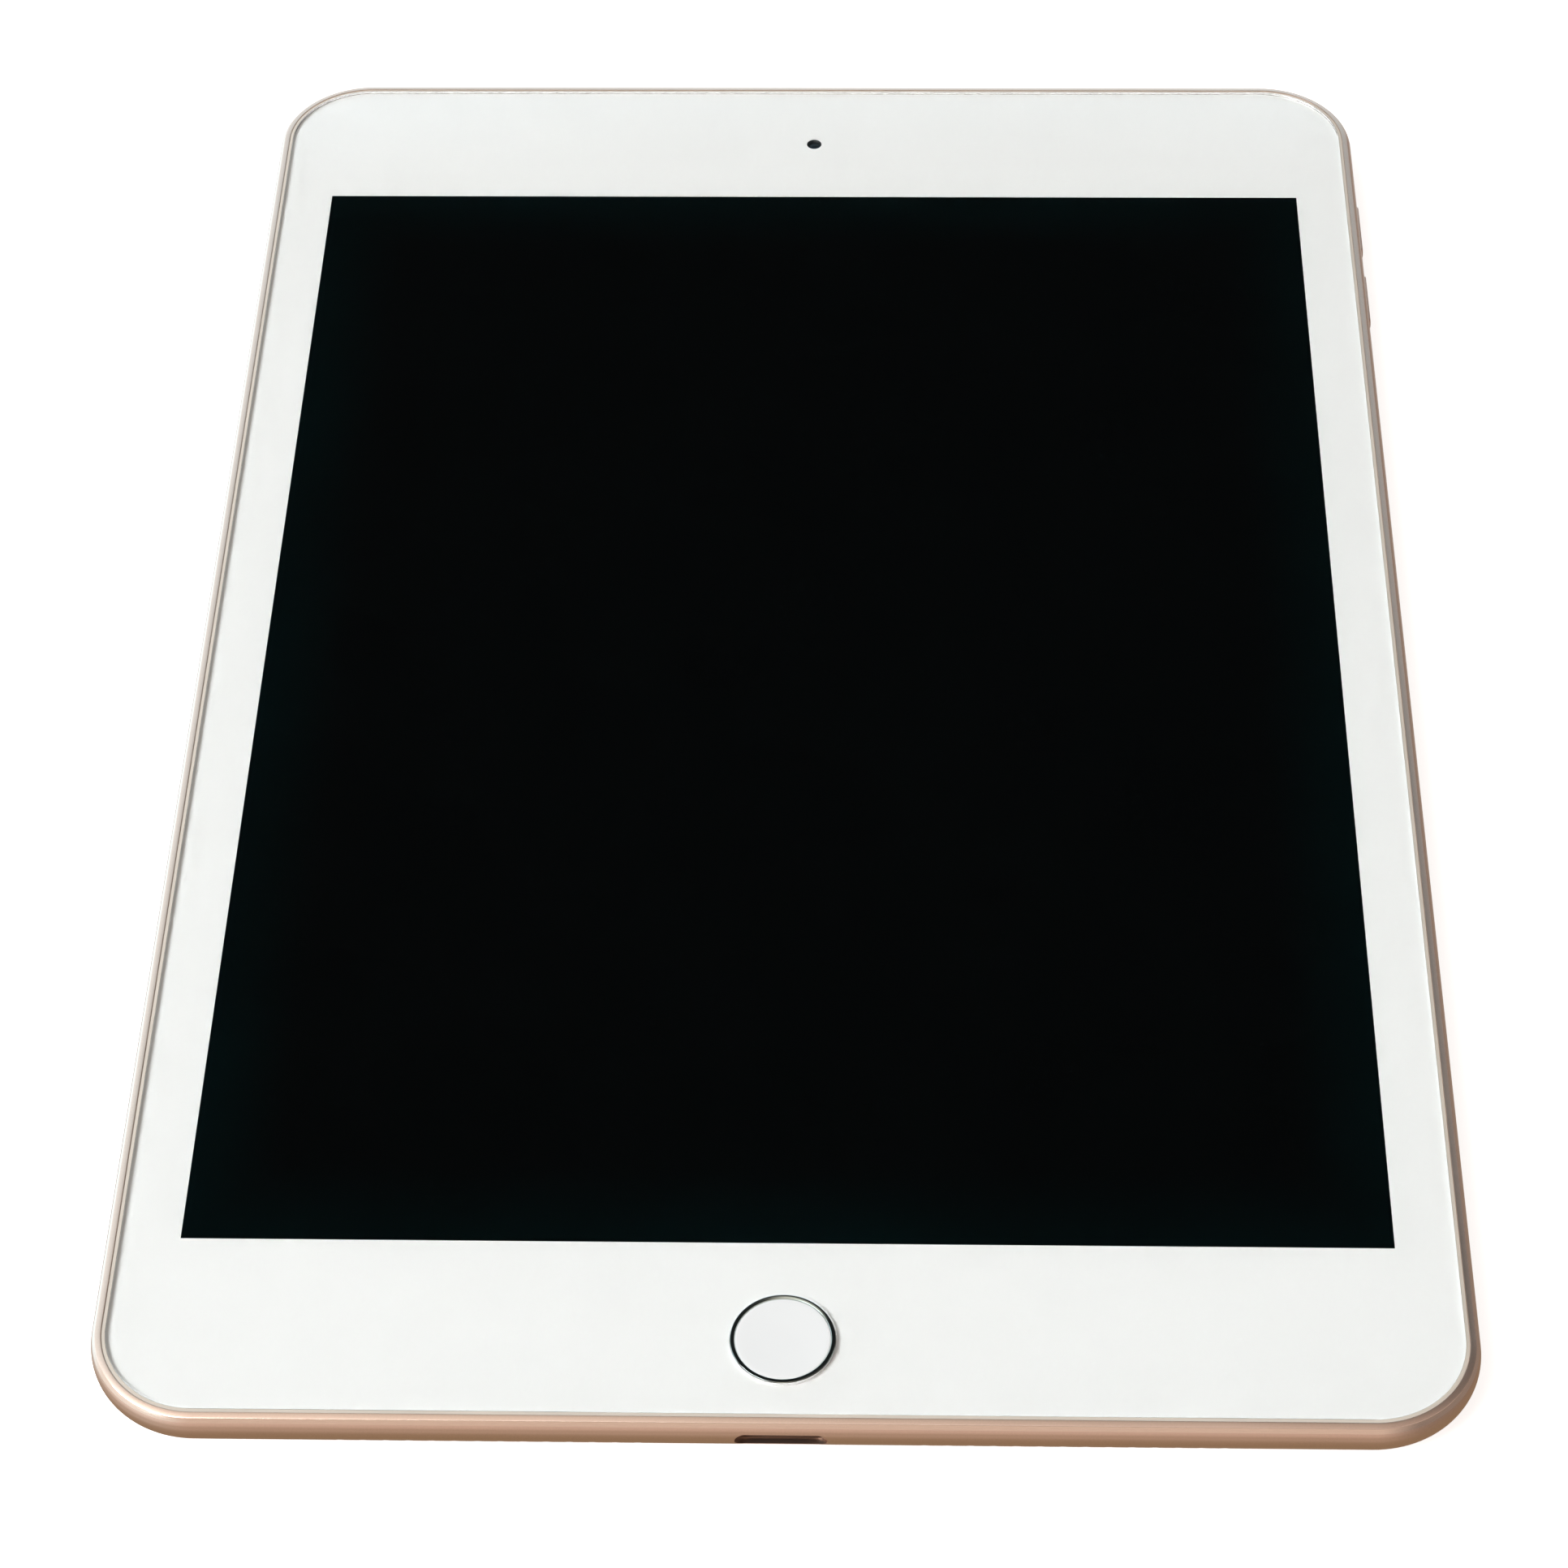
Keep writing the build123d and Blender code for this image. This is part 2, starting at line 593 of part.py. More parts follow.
with BuildPart() as board_components:
    with BuildSketch(Plane.XY.offset(BOARD_TOP)):
        for centre, pitch_x, pitch_y, count_x, count_y in (
            ((56.2, 44), 1.6, 2.6, 2, 11),
            ((54.6, 8), 1.8, 2.4, 3, 8),
            ((46, -37), 2.4, 2.6, 8, 4),
            ((25, 88), 2.0, 2.4, 9, 3),
        ):
            with Locations(centre):
                with GridLocations(pitch_x, pitch_y, count_x, count_y):
                    Rectangle(1.0, 0.55)
    extrude(amount=0.5)
    with BuildSketch(Plane.XY.offset(BOARD_TOP)):
        with Locations((43.5, 8.0), (44.5, -22.0)):
            Rectangle(9.0, 9.0)
    extrude(amount=0.9)
finish(board_components, "board_components")

BOARD_CONNECTORS = (
    (47.0, -55.0, 14.0, 3.6),
    (37.2, -54.0, 5.0, 3.6),
    (36.0, 74.2, 4.4, 4.0),
    (47.0, 86.6, 4.4, 2.6),
    (58.4, 68.0, 3.0, 4.6),
    (57.0, 81.6, 5.0, 3.0),
    (12.6, 89.6, 3.4, 3.6),
    (13.5, 82.0, 3.0, 3.0),
)
with BuildPart() as board_connectors:
    with BuildSketch(Plane.XY.offset(BOARD_TOP)):
        for x, y, width, length in BOARD_CONNECTORS:
            with Locations((x, y)):
                RectangleRounded(width, length, 0.3)
    extrude(amount=CONNECTOR_TOP - BOARD_TOP)
finish(board_connectors, "board_connectors")

with BuildPart() as board_screws:
    for x, y in BOARD_SCREWS:
        add(screw(Plane(origin=(x, y, BOARD_TOP)), 1.25, 0.55, 1.3, 0.45).part)
    for x, y in SOCKET_SCREWS:
        add(screw(Plane(origin=(x, y, EAR_TOP)), 1.25, 0.55, 1.3, 0.45).part)
finish(board_screws, "board_screws")

# ---------------------------------------------------------------- charging socket
NOSE_START = -HALF_LENGTH + 1.4
BODY_START = -HALF_LENGTH + SIDE_WALL + 0.1
BODY_END = -93.8
MOUTH_WIDTH = 7.2
MOUTH_HEIGHT = 1.75
MOUTH_END = -94.4
with BuildPart() as charging_socket:
    with BuildSketch(cross_plane_y(BODY_START)):
        with Locations((0, PORT_Z)):
            SlotOverall(PORT_WIDTH - 0.12, PORT_HEIGHT - 0.12)
    extrude(amount=BODY_START - NOSE_START)
    with BuildSketch(cross_plane_y(BODY_END)):
        with Locations((0, 2.725)):
            RectangleRounded(11.2, 3.45, 0.5)
    extrude(amount=BODY_END - BODY_START)
    with BuildSketch(Plane.XY.offset(EAR_BOTTOM)):
        with Locations((0, SOCKET_SCREWS[0][1])):
            RectangleRounded(18.0, 2.8, 1.0)
            with GridLocations(15.0, 1, 2, 1):
                Circle(0.75, mode=Mode.SUBTRACT)
    extrude(amount=EAR_TOP - EAR_BOTTOM)
    with BuildSketch(cross_plane_y(MOUTH_END)):
        with Locations((0, PORT_Z)):
            SlotOverall(MOUTH_WIDTH, MOUTH_HEIGHT)
    extrude(amount=8, mode=Mode.SUBTRACT)
finish(charging_socket, "charging_socket")

with BuildPart() as charging_contacts:
    with BuildSketch(Plane.XY.offset(PORT_Z - MOUTH_HEIGHT / 2)):
        with Locations((0, -96.6)):
            with GridLocations(0.72, 1, 8, 1):
                Rectangle(0.36, 4.0)
    extrude(amount=0.15)
finish(charging_contacts, "charging_contacts")

with BuildPart() as charging_flex:
    with BuildSketch(Plane.XY.offset(0.84)):
        with BuildLine():
            Polyline((-5, -93.6), (5, -93.6), (5, -84), (39.7, -84), (39.7, -80), (-5, -80), close=True)
        make_face()
    extrude(amount=0.1)
    riser = ribbon(cross_plane_x(37.2), [(-80.5, 0.89), (-66, 0.89), (-62, 2.76), (-52.5, 2.76)], 0.8, 5)
    add(riser.part)
finish(charging_flex, "charging_flex")


# ---------------------------------------------------------------- speakers
def speaker(side):
    """A sealed speaker box that fires through the holes in the bottom wall."""
    with BuildPart() as box:
        with BuildSketch(Plane.XY.offset(0.9)):
            with Locations((side * 35.2, -90.7)):
                RectangleRounded(44.4, 12.6, 1.0)
        extrude(amount=4.1)
        fillet(box.faces().sort_by(Axis.Z)[-1].edges(), radius=0.4)
        with BuildSketch(cross_plane_y(-94)):
            with Locations((side * SPEAKER_X, SPEAKER_Z)):
                RectangleRounded(28.0, 1.8, 0.4)
        extrude(amount=4, mode=Mode.SUBTRACT)
        with BuildSketch(Plane.XY.offset(4.8)):
            with Locations((side * 44, -90.4)):
                RectangleRounded(19, 9.4, 2.0)
                RectangleRounded(14, 5.4, 1.4, mode=Mode.SUBTRACT)
        extrude(amount=1, mode=Mode.SUBTRACT)
    return box


finish(speaker(-1), "left_speaker")
finish(speaker(1), "right_speaker")

with BuildPart() as speaker_meshes:
    for side in (-1, 1):
        with BuildSketch(cross_plane_y(-97.3)):
            with Locations((side * SPEAKER_X, SPEAKER_Z)):
                RectangleRounded(31.6, 2.2, 0.6)
        extrude(amount=0.25)
finish(speaker_meshes, "speaker_meshes")

# ---------------------------------------------------------------- headphone jack
JACK_TIP_Y = HALF_LENGTH - 1.0
with BuildPart() as headphone_jack:
    with BuildSketch(cross_plane_y(JACK_TIP_Y)):
        with Locations((JACK_X, JACK_Z)):
            Circle(JACK_BORE + 0.18)
    extrude(amount=SIDE_WALL)
    with BuildSketch(cross_plane_y(HALF_LENGTH - SIDE_WALL - 0.1)):
        with Locations((JACK_X, JACK_Z)):
            RectangleRounded(5.4, 4.3, 0.6)
    extrude(amount=12)
    with BuildSketch(cross_plane_y(JACK_TIP_Y + 1)):
        with Locations((JACK_X, JACK_Z)):
            Circle(JACK_BORE)
    extrude(amount=JACK_DEPTH + 1, mode=Mode.SUBTRACT)
finish(headphone_jack, "headphone_jack")

# ---------------------------------------------------------------- cameras, sensors and microphones
with BuildPart() as front_camera:
    with BuildSketch(Plane.XY.offset(BACK_WALL + 0.05)):
        with Locations((0, FRONT_CAMERA_Y)):
            RectangleRounded(7.6, 7.6, 0.5)
    extrude(amount=4.2 - BACK_WALL - 0.05)
    with BuildSketch(Plane.XY.offset(4.2)):
        with Locations((0, FRONT_CAMERA_Y)):
            Circle(2.4)
    extrude(amount=1.0)
    with BuildSketch(Plane.XY.offset(4.9)):
        with Locations((0, FRONT_CAMERA_Y)):
            Circle(1.3)
    extrude(amount=1, mode=Mode.SUBTRACT)
finish(front_camera, "front_camera")

with BuildPart() as front_camera_lens:
    with BuildSketch(Plane.XY.offset(4.9)):
        with Locations((0, FRONT_CAMERA_Y)):
            Circle(1.28)
    extrude(amount=0.2)
finish(front_camera_lens, "front_camera_lens")

with BuildPart() as light_sensor:
    with BuildSketch(Plane.XY.offset(BOARD_TOP)):
        with Locations((19, 93)):
            RectangleRounded(3.0, 2.2, 0.3)
    extrude(amount=5.1 - BOARD_TOP)
finish(light_sensor, "light_sensor")

with BuildPart() as rear_camera:
    with BuildSketch(Plane.XY.offset(1.1)):
        with Locations(REAR_CAMERA):
            RectangleRounded(7.6, 7.6, 0.5)
    extrude(amount=3.6)
    with BuildSketch(Plane.XY.offset(0.72)):
        with Locations(REAR_CAMERA):
            Circle(2.5)
            Circle(1.5, mode=Mode.SUBTRACT)
    extrude(amount=0.38)
finish(rear_camera, "rear_camera")

with BuildPart() as rear_camera_trim:
    with BuildSketch(Plane.XY.offset(0.05)):
        with Locations(REAR_CAMERA):
            Circle(3.75)
            Circle(3.1, mode=Mode.SUBTRACT)
    extrude(amount=0.6)
    with BuildSketch(Plane.XY.offset(0.6)):
        with Locations(REAR_CAMERA):
            Circle(3.75)
            Circle(2.7, mode=Mode.SUBTRACT)
    extrude(amount=0.3)
    front_edge = rear_camera_trim.faces().sort_by(Axis.Z)[0].inner_wires()[0].edges()
    chamfer(front_edge, 0.15)
finish(rear_camera_trim, "rear_camera_trim")

with BuildPart() as rear_camera_window:
    with BuildSketch(Plane.XY.offset(0.2)):
        with Locations(REAR_CAMERA):
            Circle(3.06)
    extrude(amount=0.38)
finish(rear_camera_window, "rear_camera_window")

with BuildPart() as camera_flexes:
    rear_tail = ribbon(
        cross_plane_x(REAR_CAMERA[0]), [(87.3, 2.0), (85.9, 2.0), (84.6, 2.76), (80.3, 2.76)], 0.4, 4.6
    )
    front_tail = ribbon(cross_plane_y(89.6), [(3.85, 2.2), (6.0, 2.2), (8.0, 2.76), (14.0, 2.76)], 0.5, 3.2)
    add(rear_tail.part)
    add(front_tail.part)
finish(camera_flexes, "camera_flexes")

with BuildPart() as microphones:
    with BuildSketch(Plane.XY.offset(BACK_WALL)):
        with Locations(REAR_MICROPHONE):
            RectangleRounded(3.4, 2.4, 0.3)
    extrude(amount=1.0)
    with BuildSketch(cross_plane_y(HALF_LENGTH - SIDE_WALL)):
        with Locations((0, TOP_MICROPHONE_Z)):
            RectangleRounded(3.4, 2.4, 0.3)
    extrude(amount=1.0)
finish(microphones, "microphones")

# ---------------------------------------------------------------- antenna and its cable
ANTENNA_FACE_X = -25.0
ANTENNA_Z = 4.6
with BuildPart() as antenna:
    with BuildSketch(Plane.XY.offset(BACK_WALL + 0.05)):
        with Locations((ANTENNA_FACE_X - 9, 92.4)):
            RectangleRounded(18, 7, 1)
    extrude(amount=ANTENNA_Z + 0.5 - BACK_WALL - 0.05)
finish(antenna, "antenna")

CABLE_DIAMETER = 0.8
CABLE_BEND_SHARE = 0.45
CABLE_ROUTE = (
    (12.0, 82.0, 2.3),
    (5.0, 82.0, 2.3),
    (-3.2, 83.4, 2.3),
    (-10.5, 83.2, 2.7),
    (-16.5, 86.5, 3.6),
    (-20.0, 91.0, ANTENNA_Z),
    (ANTENNA_FACE_X, 91.0, ANTENNA_Z),
)


def bend_radii(points):
    """One arc radius for each inner point, as large as its two runs allow."""
    radii = []
    for before, corner, after in zip(points, points[1:], points[2:]):
        run_in = Vector(corner) - Vector(before)
        run_out = Vector(after) - Vector(corner)
        turn = run_in.get_angle(run_out)
        tangent_length = CABLE_BEND_SHARE * min(run_in.length, run_out.length)
        radii.append(tangent_length / tan(radians(turn / 2)))
        print(f"antenna cable: turn of {turn:.0f} degrees, radius {radii[-1]:.1f} mm")
    return radii


with BuildPart() as antenna_cable:
    with BuildLine() as cable_path:
        FilletPolyline(*CABLE_ROUTE, radius=bend_radii(CABLE_ROUTE))
    with BuildSketch(Plane(origin=cable_path.line @ 0, z_dir=cable_path.line % 0)):
        Circle(CABLE_DIAMETER / 2)
    sweep(path=cable_path.line)
cable_length = cable_path.wire().length
cable_volume = pi * CABLE_DIAMETER**2 / 4 * cable_length
print(f"antenna cable: {cable_length:.1f} mm long")
print(f"antenna cable: volume {antenna_cable.part.volume:.3f}, section times length {cable_volume:.3f}")
finish(antenna_cable, "antenna_cable")

# ---------------------------------------------------------------- magnets for a cover
with BuildPart() as cover_magnets:
    with BuildSketch(Plane.XY.offset(BACK_WALL + 0.05)):
        with Locations((-62.8, 0)):
            with GridLocations(1, 15, 1, 8):
                Rectangle(0.9, 11)
        with Locations((62.85, -5)):
            with GridLocations(1, 14, 1, 5):
                Rectangle(0.9, 9)
    extrude(amount=2.2)
finish(cover_magnets, "cover_magnets")
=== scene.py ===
import json
from math import cos, hypot, pi, radians, sin, tan

import bmesh
import bpy
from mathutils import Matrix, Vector


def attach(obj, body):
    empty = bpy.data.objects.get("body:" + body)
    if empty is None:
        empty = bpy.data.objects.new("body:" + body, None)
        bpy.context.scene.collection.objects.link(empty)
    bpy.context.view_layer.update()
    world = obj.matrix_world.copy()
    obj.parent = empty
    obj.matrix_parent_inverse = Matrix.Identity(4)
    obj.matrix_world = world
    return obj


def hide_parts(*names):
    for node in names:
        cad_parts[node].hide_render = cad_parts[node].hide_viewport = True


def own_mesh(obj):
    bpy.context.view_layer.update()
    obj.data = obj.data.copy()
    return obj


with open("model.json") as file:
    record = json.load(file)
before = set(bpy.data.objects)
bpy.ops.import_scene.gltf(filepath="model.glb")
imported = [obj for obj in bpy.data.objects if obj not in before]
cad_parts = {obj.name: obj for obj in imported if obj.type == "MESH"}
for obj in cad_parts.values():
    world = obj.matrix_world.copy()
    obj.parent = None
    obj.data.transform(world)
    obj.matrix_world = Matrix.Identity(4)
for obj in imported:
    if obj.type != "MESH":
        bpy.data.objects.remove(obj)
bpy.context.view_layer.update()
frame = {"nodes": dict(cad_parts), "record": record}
nodes = frame["nodes"]
MM = 0.001

# ---------------------------------------------------------------- sizes of the CAD model, in millimetres
WIDTH, LENGTH, TOP_Z = 134.8, 203.2, 6.1
CORNER = 11.0
HALF_W, HALF_L = WIDTH / 2, LENGTH / 2
GLASS_INSET = 1.6
GLASS_BOTTOM = 5.4
LEDGE_Z = 5.3
RIM_TOP = 6.0
RIM_INNER = 1.2
WALL_INNER = 4.0
FLOOR_Z = 0.8
HOME = (0.0, -91.4)
HOME_HOLE_RADIUS = 5.18
FRONT_CAMERA = (0.0, 90.0)
FRONT_WINDOW_RADIUS = 0.92
WINDOW_CUT = (5.2, 5.5)
INK_INSET, INK_GAP, INK_THICKNESS = 0.03, 0.006, 0.042
REAR_CAMERA = (57.0, 91.2)
REAR_CAMERA_HOLE_RADIUS = 3.8
REAR_MICROPHONE = (48.5, 91.2)
SCREEN_HALF = (59.85, 79.8)

# openings in the walls: u runs along the wall, depth goes in from its outer face
CUT_DEPTH = 5.2
PORT_Z = 3.45
PORT_SIZE = (8.9, 2.3)
SPEAKER_U, SPEAKER_Z = 28.0, 2.2
SPEAKER_HOLES, SPEAKER_PITCH, SPEAKER_RADIUS = 14, 2.2, 0.5
JACK_U, JACK_Z, JACK_RADIUS = 53.1, 3.1, 2.03
MICROPHONE_Z, MICROPHONE_RADIUS = 3.6, 0.45

# side keys
KEY_Z = 4.0
KEY_PROUD = 0.15
KEY_SIZE = (9.0, 1.5)
KEY_SLOT = (9.16, 1.66)
KEY_FLANGE = (10.6, 1.9, 0.45)
KEY_POCKET = (11.4, 2.0, 0.5)
FLANGE_START, FLANGE_END = 2.0, 2.6
PLUNGER_RADIUS, PLUNGER_END = 0.5, 3.2
SWITCH_DEPTH = 3.5
POWER_U, VOLUME_UP_U, VOLUME_DOWN_U = -48.0, 75.1, 62.1
KEY_PLACES = (("top", POWER_U), ("right", VOLUME_UP_U), ("right", VOLUME_DOWN_U))

# points along the outline, and the angle above which an edge stays sharp
ARC_STEPS = 28
SHORT_STEPS = 18
LONG_STEPS = 26
SHARP_ANGLE = 34


# ---------------------------------------------------------------- mesh helpers
def round_corners(points, radii, steps=6):
    """An open polyline in 2-D with each inner corner rounded by its radius."""
    made = [points[0]]
    for before, here, after, radius in zip(points, points[1:], points[2:], radii):
        a, b, c = Vector(before), Vector(here), Vector(after)
        into, out = (b - a).normalized(), (c - b).normalized()
        turn = into.angle_signed(out)
        if radius <= 0 or abs(turn) < 1e-4:
            made.append(here)
            continue
        reach = radius * tan(abs(turn) / 2)
        start = b - into * reach
        side = -1 if turn > 0 else 1
        centre = start + Vector((-into.y, into.x)) * radius * side
        arm = start - centre
        for i in range(steps + 1):
            angle = abs(turn) * i / steps * side
            made.append(
                (
                    centre.x + arm.x * cos(angle) - arm.y * sin(angle),
                    centre.y + arm.x * sin(angle) + arm.y * cos(angle),
                )
            )
    made.append(points[-1])
    return made


def outline(inset):
    """The tablet's outline moved inwards by inset: (x, y) points, counter-clockwise."""
    radius = CORNER - inset
    cx, cy = HALF_W - CORNER, HALF_L - CORNER
    points = []
    for quarter, (sx, sy, steps) in enumerate(
        ((1, 1, SHORT_STEPS), (-1, 1, LONG_STEPS), (-1, -1, SHORT_STEPS), (1, -1, LONG_STEPS))
    ):
        arc = [
            (
                sx * cx + radius * cos(quarter * pi / 2 + pi / 2 * i / ARC_STEPS),
                sy * cy + radius * sin(quarter * pi / 2 + pi / 2 * i / ARC_STEPS),
            )
            for i in range(ARC_STEPS + 1)
        ]
        points += arc
        nx, ny = ((-1, 1), (-1, -1), (1, -1), (1, 1))[quarter]
        end = (
            nx * cx + radius * cos((quarter + 1) * pi / 2),
            ny * cy + radius * sin((quarter + 1) * pi / 2),
        )
        for i in range(1, steps):
            share = i / steps
            points.append(
                (arc[-1][0] + (end[0] - arc[-1][0]) * share, arc[-1][1] + (end[1] - arc[-1][1]) * share)
            )
    return points


def oblong(length, height, count=64):
    """A slot outline round (0, 0), long side along the first axis."""
    radius = height / 2
    reach = (length - height) / 2
    points = []
    for i in range(count):
        angle = 2 * pi * (i + 0.5) / count
        side = 1 if cos(angle) > 0 else -1
        points.append((side * reach + radius * cos(angle), radius * sin(angle)))
    return points


def box_outline(length, height, radius, count=64):
    """A rounded rectangle round (0, 0) with the same count and start as oblong."""
    cx, cy = length / 2 - radius, height / 2 - radius
    points = []
    for i in range(count):
        angle = 2 * pi * (i + 0.5) / count
        sx = 1 if cos(angle) > 0 else -1
        sy = 1 if sin(angle) > 0 else -1
        points.append((sx * cx + radius * cos(angle), sy * cy + radius * sin(angle)))
    return points


def circle(radius, count=64):
    """A circle round (0, 0) with the same start as oblong."""
    return [
        (radius * cos(2 * pi * (i + 0.5) / count), radius * sin(2 * pi * (i + 0.5) / count))
        for i in range(count)
    ]


def grown(points, amount):
    """A convex 2-D outline moved outwards by amount, along its normals."""
    count = len(points)
    made = []
    for i, (x, y) in enumerate(points):
        before, after = points[i - 1], points[(i + 1) % count]
        dx, dy = after[0] - before[0], after[1] - before[1]
        size = hypot(dx, dy)
        made.append((x + dy / size * amount, y - dx / size * amount))
    return made


def mesh_object(name, bm):
    """The bmesh as a new object, its normals facing out."""
    bmesh.ops.recalc_face_normals(bm, faces=bm.faces)
    mesh = bpy.data.meshes.new(name)
    bm.to_mesh(mesh)
    bm.free()
    made = bpy.data.objects.new(name, mesh)
    bpy.context.scene.collection.objects.link(made)
    return made


def add_loft(bm, rings, capped=True):
    """Quads between rings of 3-D points in millimetres; the ends are capped, or joined to each other."""
    rows = [[bm.verts.new((x * MM, y * MM, z * MM)) for x, y, z in ring] for ring in rings]
    pairs = list(zip(rows, rows[1:]))
    if not capped:
        pairs.append((rows[-1], rows[0]))
    for low, high in pairs:
        for i in range(len(low)):
            j = (i + 1) % len(low)
            bm.faces.new((low[i], low[j], high[j], high[i]))
    if capped:
        bm.faces.new(rows[0])
        bm.faces.new(rows[-1])


def loft(name, rings, capped=True):
    """A new object from one loft."""
    bm = bmesh.new()
    add_loft(bm, rings, capped)
    return mesh_object(name, bm)


def turned(profile, centre, count=96):
    """Rings for a body of revolution: profile is (radius, z) points, centre is (x, y)."""
    return [
        [
            (centre[0] + r * cos(2 * pi * i / count), centre[1] + r * sin(2 * pi * i / count), z)
            for i in range(count)
        ]
        for r, z in profile
    ]


def apply_modifiers(piece):
    """The object's modifiers become its mesh."""
    graph = bpy.context.evaluated_depsgraph_get()
    mesh = bpy.data.meshes.new_from_object(piece.evaluated_get(graph))
    piece.modifiers.clear()
    piece.data = mesh


def cut(piece, cutter):
    """Takes cutter out of piece and removes it."""
    step = piece.modifiers.new("cut", "BOOLEAN")
    step.operation = "DIFFERENCE"
    step.solver = "EXACT"
    step.object = cutter
    apply_modifiers(piece)
    bpy.data.objects.remove(cutter)


def smooth(piece, weighted=True):
    """Smooth shading with sharp edges kept, and normals that keep flat faces flat."""
    piece.data.shade_smooth()
    piece.data.set_sharp_from_angle(angle=radians(SHARP_ANGLE))
    if weighted:
        step = piece.modifiers.new("even_normals", "WEIGHTED_NORMAL")
        step.keep_sharp = True
        step.weight = 60


# ---------------------------------------------------------------- material helpers
class Paint:
    """A node material built round one Principled shader."""

    def __init__(self, name, **constants):
        self.material = bpy.data.materials.new(name)
        self.material.use_nodes = True
        self.tree = self.material.node_tree
        self.shader = self.tree.nodes["Principled BSDF"]
        self.place = self.tree.nodes.new("ShaderNodeTexCoord").outputs["Object"]
        for socket, value in constants.items():
            self.shader.inputs[socket.replace("_", " ")].default_value = value

    def node(self, kind, links=(), **values):
        made = self.tree.nodes.new(kind)
        for key, value in values.items():
            setattr(made, key, value)
        for socket, source in dict(links).items():
            if isinstance(source, (int, float, tuple)):
                made.inputs[socket].default_value = source
            else:
                self.tree.links.new(source, made.inputs[socket])
        return made

    def stretched(self, x, y, z):
        return self.node("ShaderNodeMapping", {"Vector": self.place, "Scale": (x, y, z)}).outputs[0]

    def noise(self, scale, detail=3.0, place=None, roughness=0.5):
        return self.node(
            "ShaderNodeTexNoise",
            {"Vector": place or self.place, "Scale": scale, "Detail": detail, "Roughness": roughness},
        ).outputs["Fac"]

    def spread(self, source, low, high, start=0.3, end=0.7):
        return self.node(
            "ShaderNodeMapRange",
            {"Value": source, "From Min": start, "From Max": end, "To Min": low, "To Max": high},
        ).outputs[0]

    def ramp(self, source, *stops):
        made = self.node("ShaderNodeValToRGB", {"Fac": source})
        stops_in = made.color_ramp.elements
        stops_in[0].position, stops_in[0].color = stops[0][0], (*stops[0][1], 1)
        stops_in[1].position, stops_in[1].color = stops[-1][0], (*stops[-1][1], 1)
        for position, colour in stops[1:-1]:
            stops_in.new(position).color = (*colour, 1)
        return made.outputs["Color"]

    def mixed(self, share, first, second):
        made = self.node("ShaderNodeMix", data_type="RGBA")
        self.tree.links.new(share, made.inputs["Factor"])
        for socket, source in ((6, first), (7, second)):
            if isinstance(source, tuple):
                made.inputs[socket].default_value = (*source, 1)
            else:
                self.tree.links.new(source, made.inputs[socket])
        return made.outputs[2]

    def colour(self, source):
        self.tree.links.new(source, self.shader.inputs["Base Color"])
        return self

    def roughness(self, source):
        self.tree.links.new(source, self.shader.inputs["Roughness"])
        return self

    def bump(self, source, strength, distance):
        made = self.node("ShaderNodeBump", {"Height": source, "Strength": strength, "Distance": distance})
        before = self.shader.inputs["Normal"].links
        if before:
            self.tree.links.new(before[0].from_socket, made.inputs["Normal"])
        self.tree.links.new(made.outputs[0], self.shader.inputs["Normal"])
        return self


def tint(colour, factor):
    """The colour made lighter or darker by factor."""
    return tuple(min(1.0, c * factor) for c in colour)


def plain(name, colour, rough, scale, variation=0.08, grain=0.0, grain_scale=4000.0, **constants):
    """A moulded, printed or coated surface: slight cloudy colour change, uneven gloss and a fine grain."""
    made = Paint(name, **constants)
    cloud = made.noise(scale)
    made.colour(made.ramp(cloud, (0.3, tint(colour, 1 - variation)), (0.7, tint(colour, 1 + variation))))
    made.roughness(made.spread(made.noise(scale * 3.1, 4.0), rough * 0.85, rough * 1.15))
    if grain:
        made.bump(made.noise(grain_scale, 2.0), grain, 2e-5)
    return made


def brushed(name, colour, rough, along=(1, 40, 40), strength=0.12, **constants):
    """Rolled or drawn metal with fine lines along one axis."""
    made = Paint(name, Metallic=1.0, **constants)
    lines = made.noise(60.0, 5.0, made.stretched(*along))
    made.colour(made.ramp(lines, (0.3, tint(colour, 0.88)), (0.7, tint(colour, 1.08))))
    made.roughness(made.spread(lines, rough * 0.8, rough * 1.3))
    made.bump(lines, strength, 1e-5)
    return made


def soldered_board(name):
    """Green-black solder mask over copper tracks, with plated holes."""
    made = Paint(name, Specular_IOR_Level=0.5)
    grid = made.node(
        "ShaderNodeTexBrick",
        {
            "Vector": made.place,
            "Scale": 900.0,
            "Color1": (0.05, 0.05, 0.05, 1),
            "Color2": (0.95, 0.95, 0.95, 1),
            "Mortar": (0.4, 0.4, 0.4, 1),
            "Mortar Size": 0.06,
        },
    ).outputs["Color"]
    patches = made.noise(160.0, 2.0)
    board = made.ramp(patches, (0.35, (0.006, 0.02, 0.018)), (0.65, (0.01, 0.035, 0.028)))
    tracks = made.mixed(made.spread(grid, 0.0, 0.5, 0.2, 0.8), board, (0.02, 0.075, 0.05))
    holes = made.node(
        "ShaderNodeTexVoronoi", {"Vector": made.place, "Scale": 620.0, "Randomness": 0.9}
    ).outputs["Distance"]
    plated = made.node("ShaderNodeMath", {0: holes, 1: 0.16}, operation="LESS_THAN").outputs[0]
    made.colour(made.mixed(plated, tracks, (0.75, 0.52, 0.22)))
    made.roughness(made.spread(patches, 0.32, 0.5))
    made.bump(grid, 0.25, 2e-5)
    return made


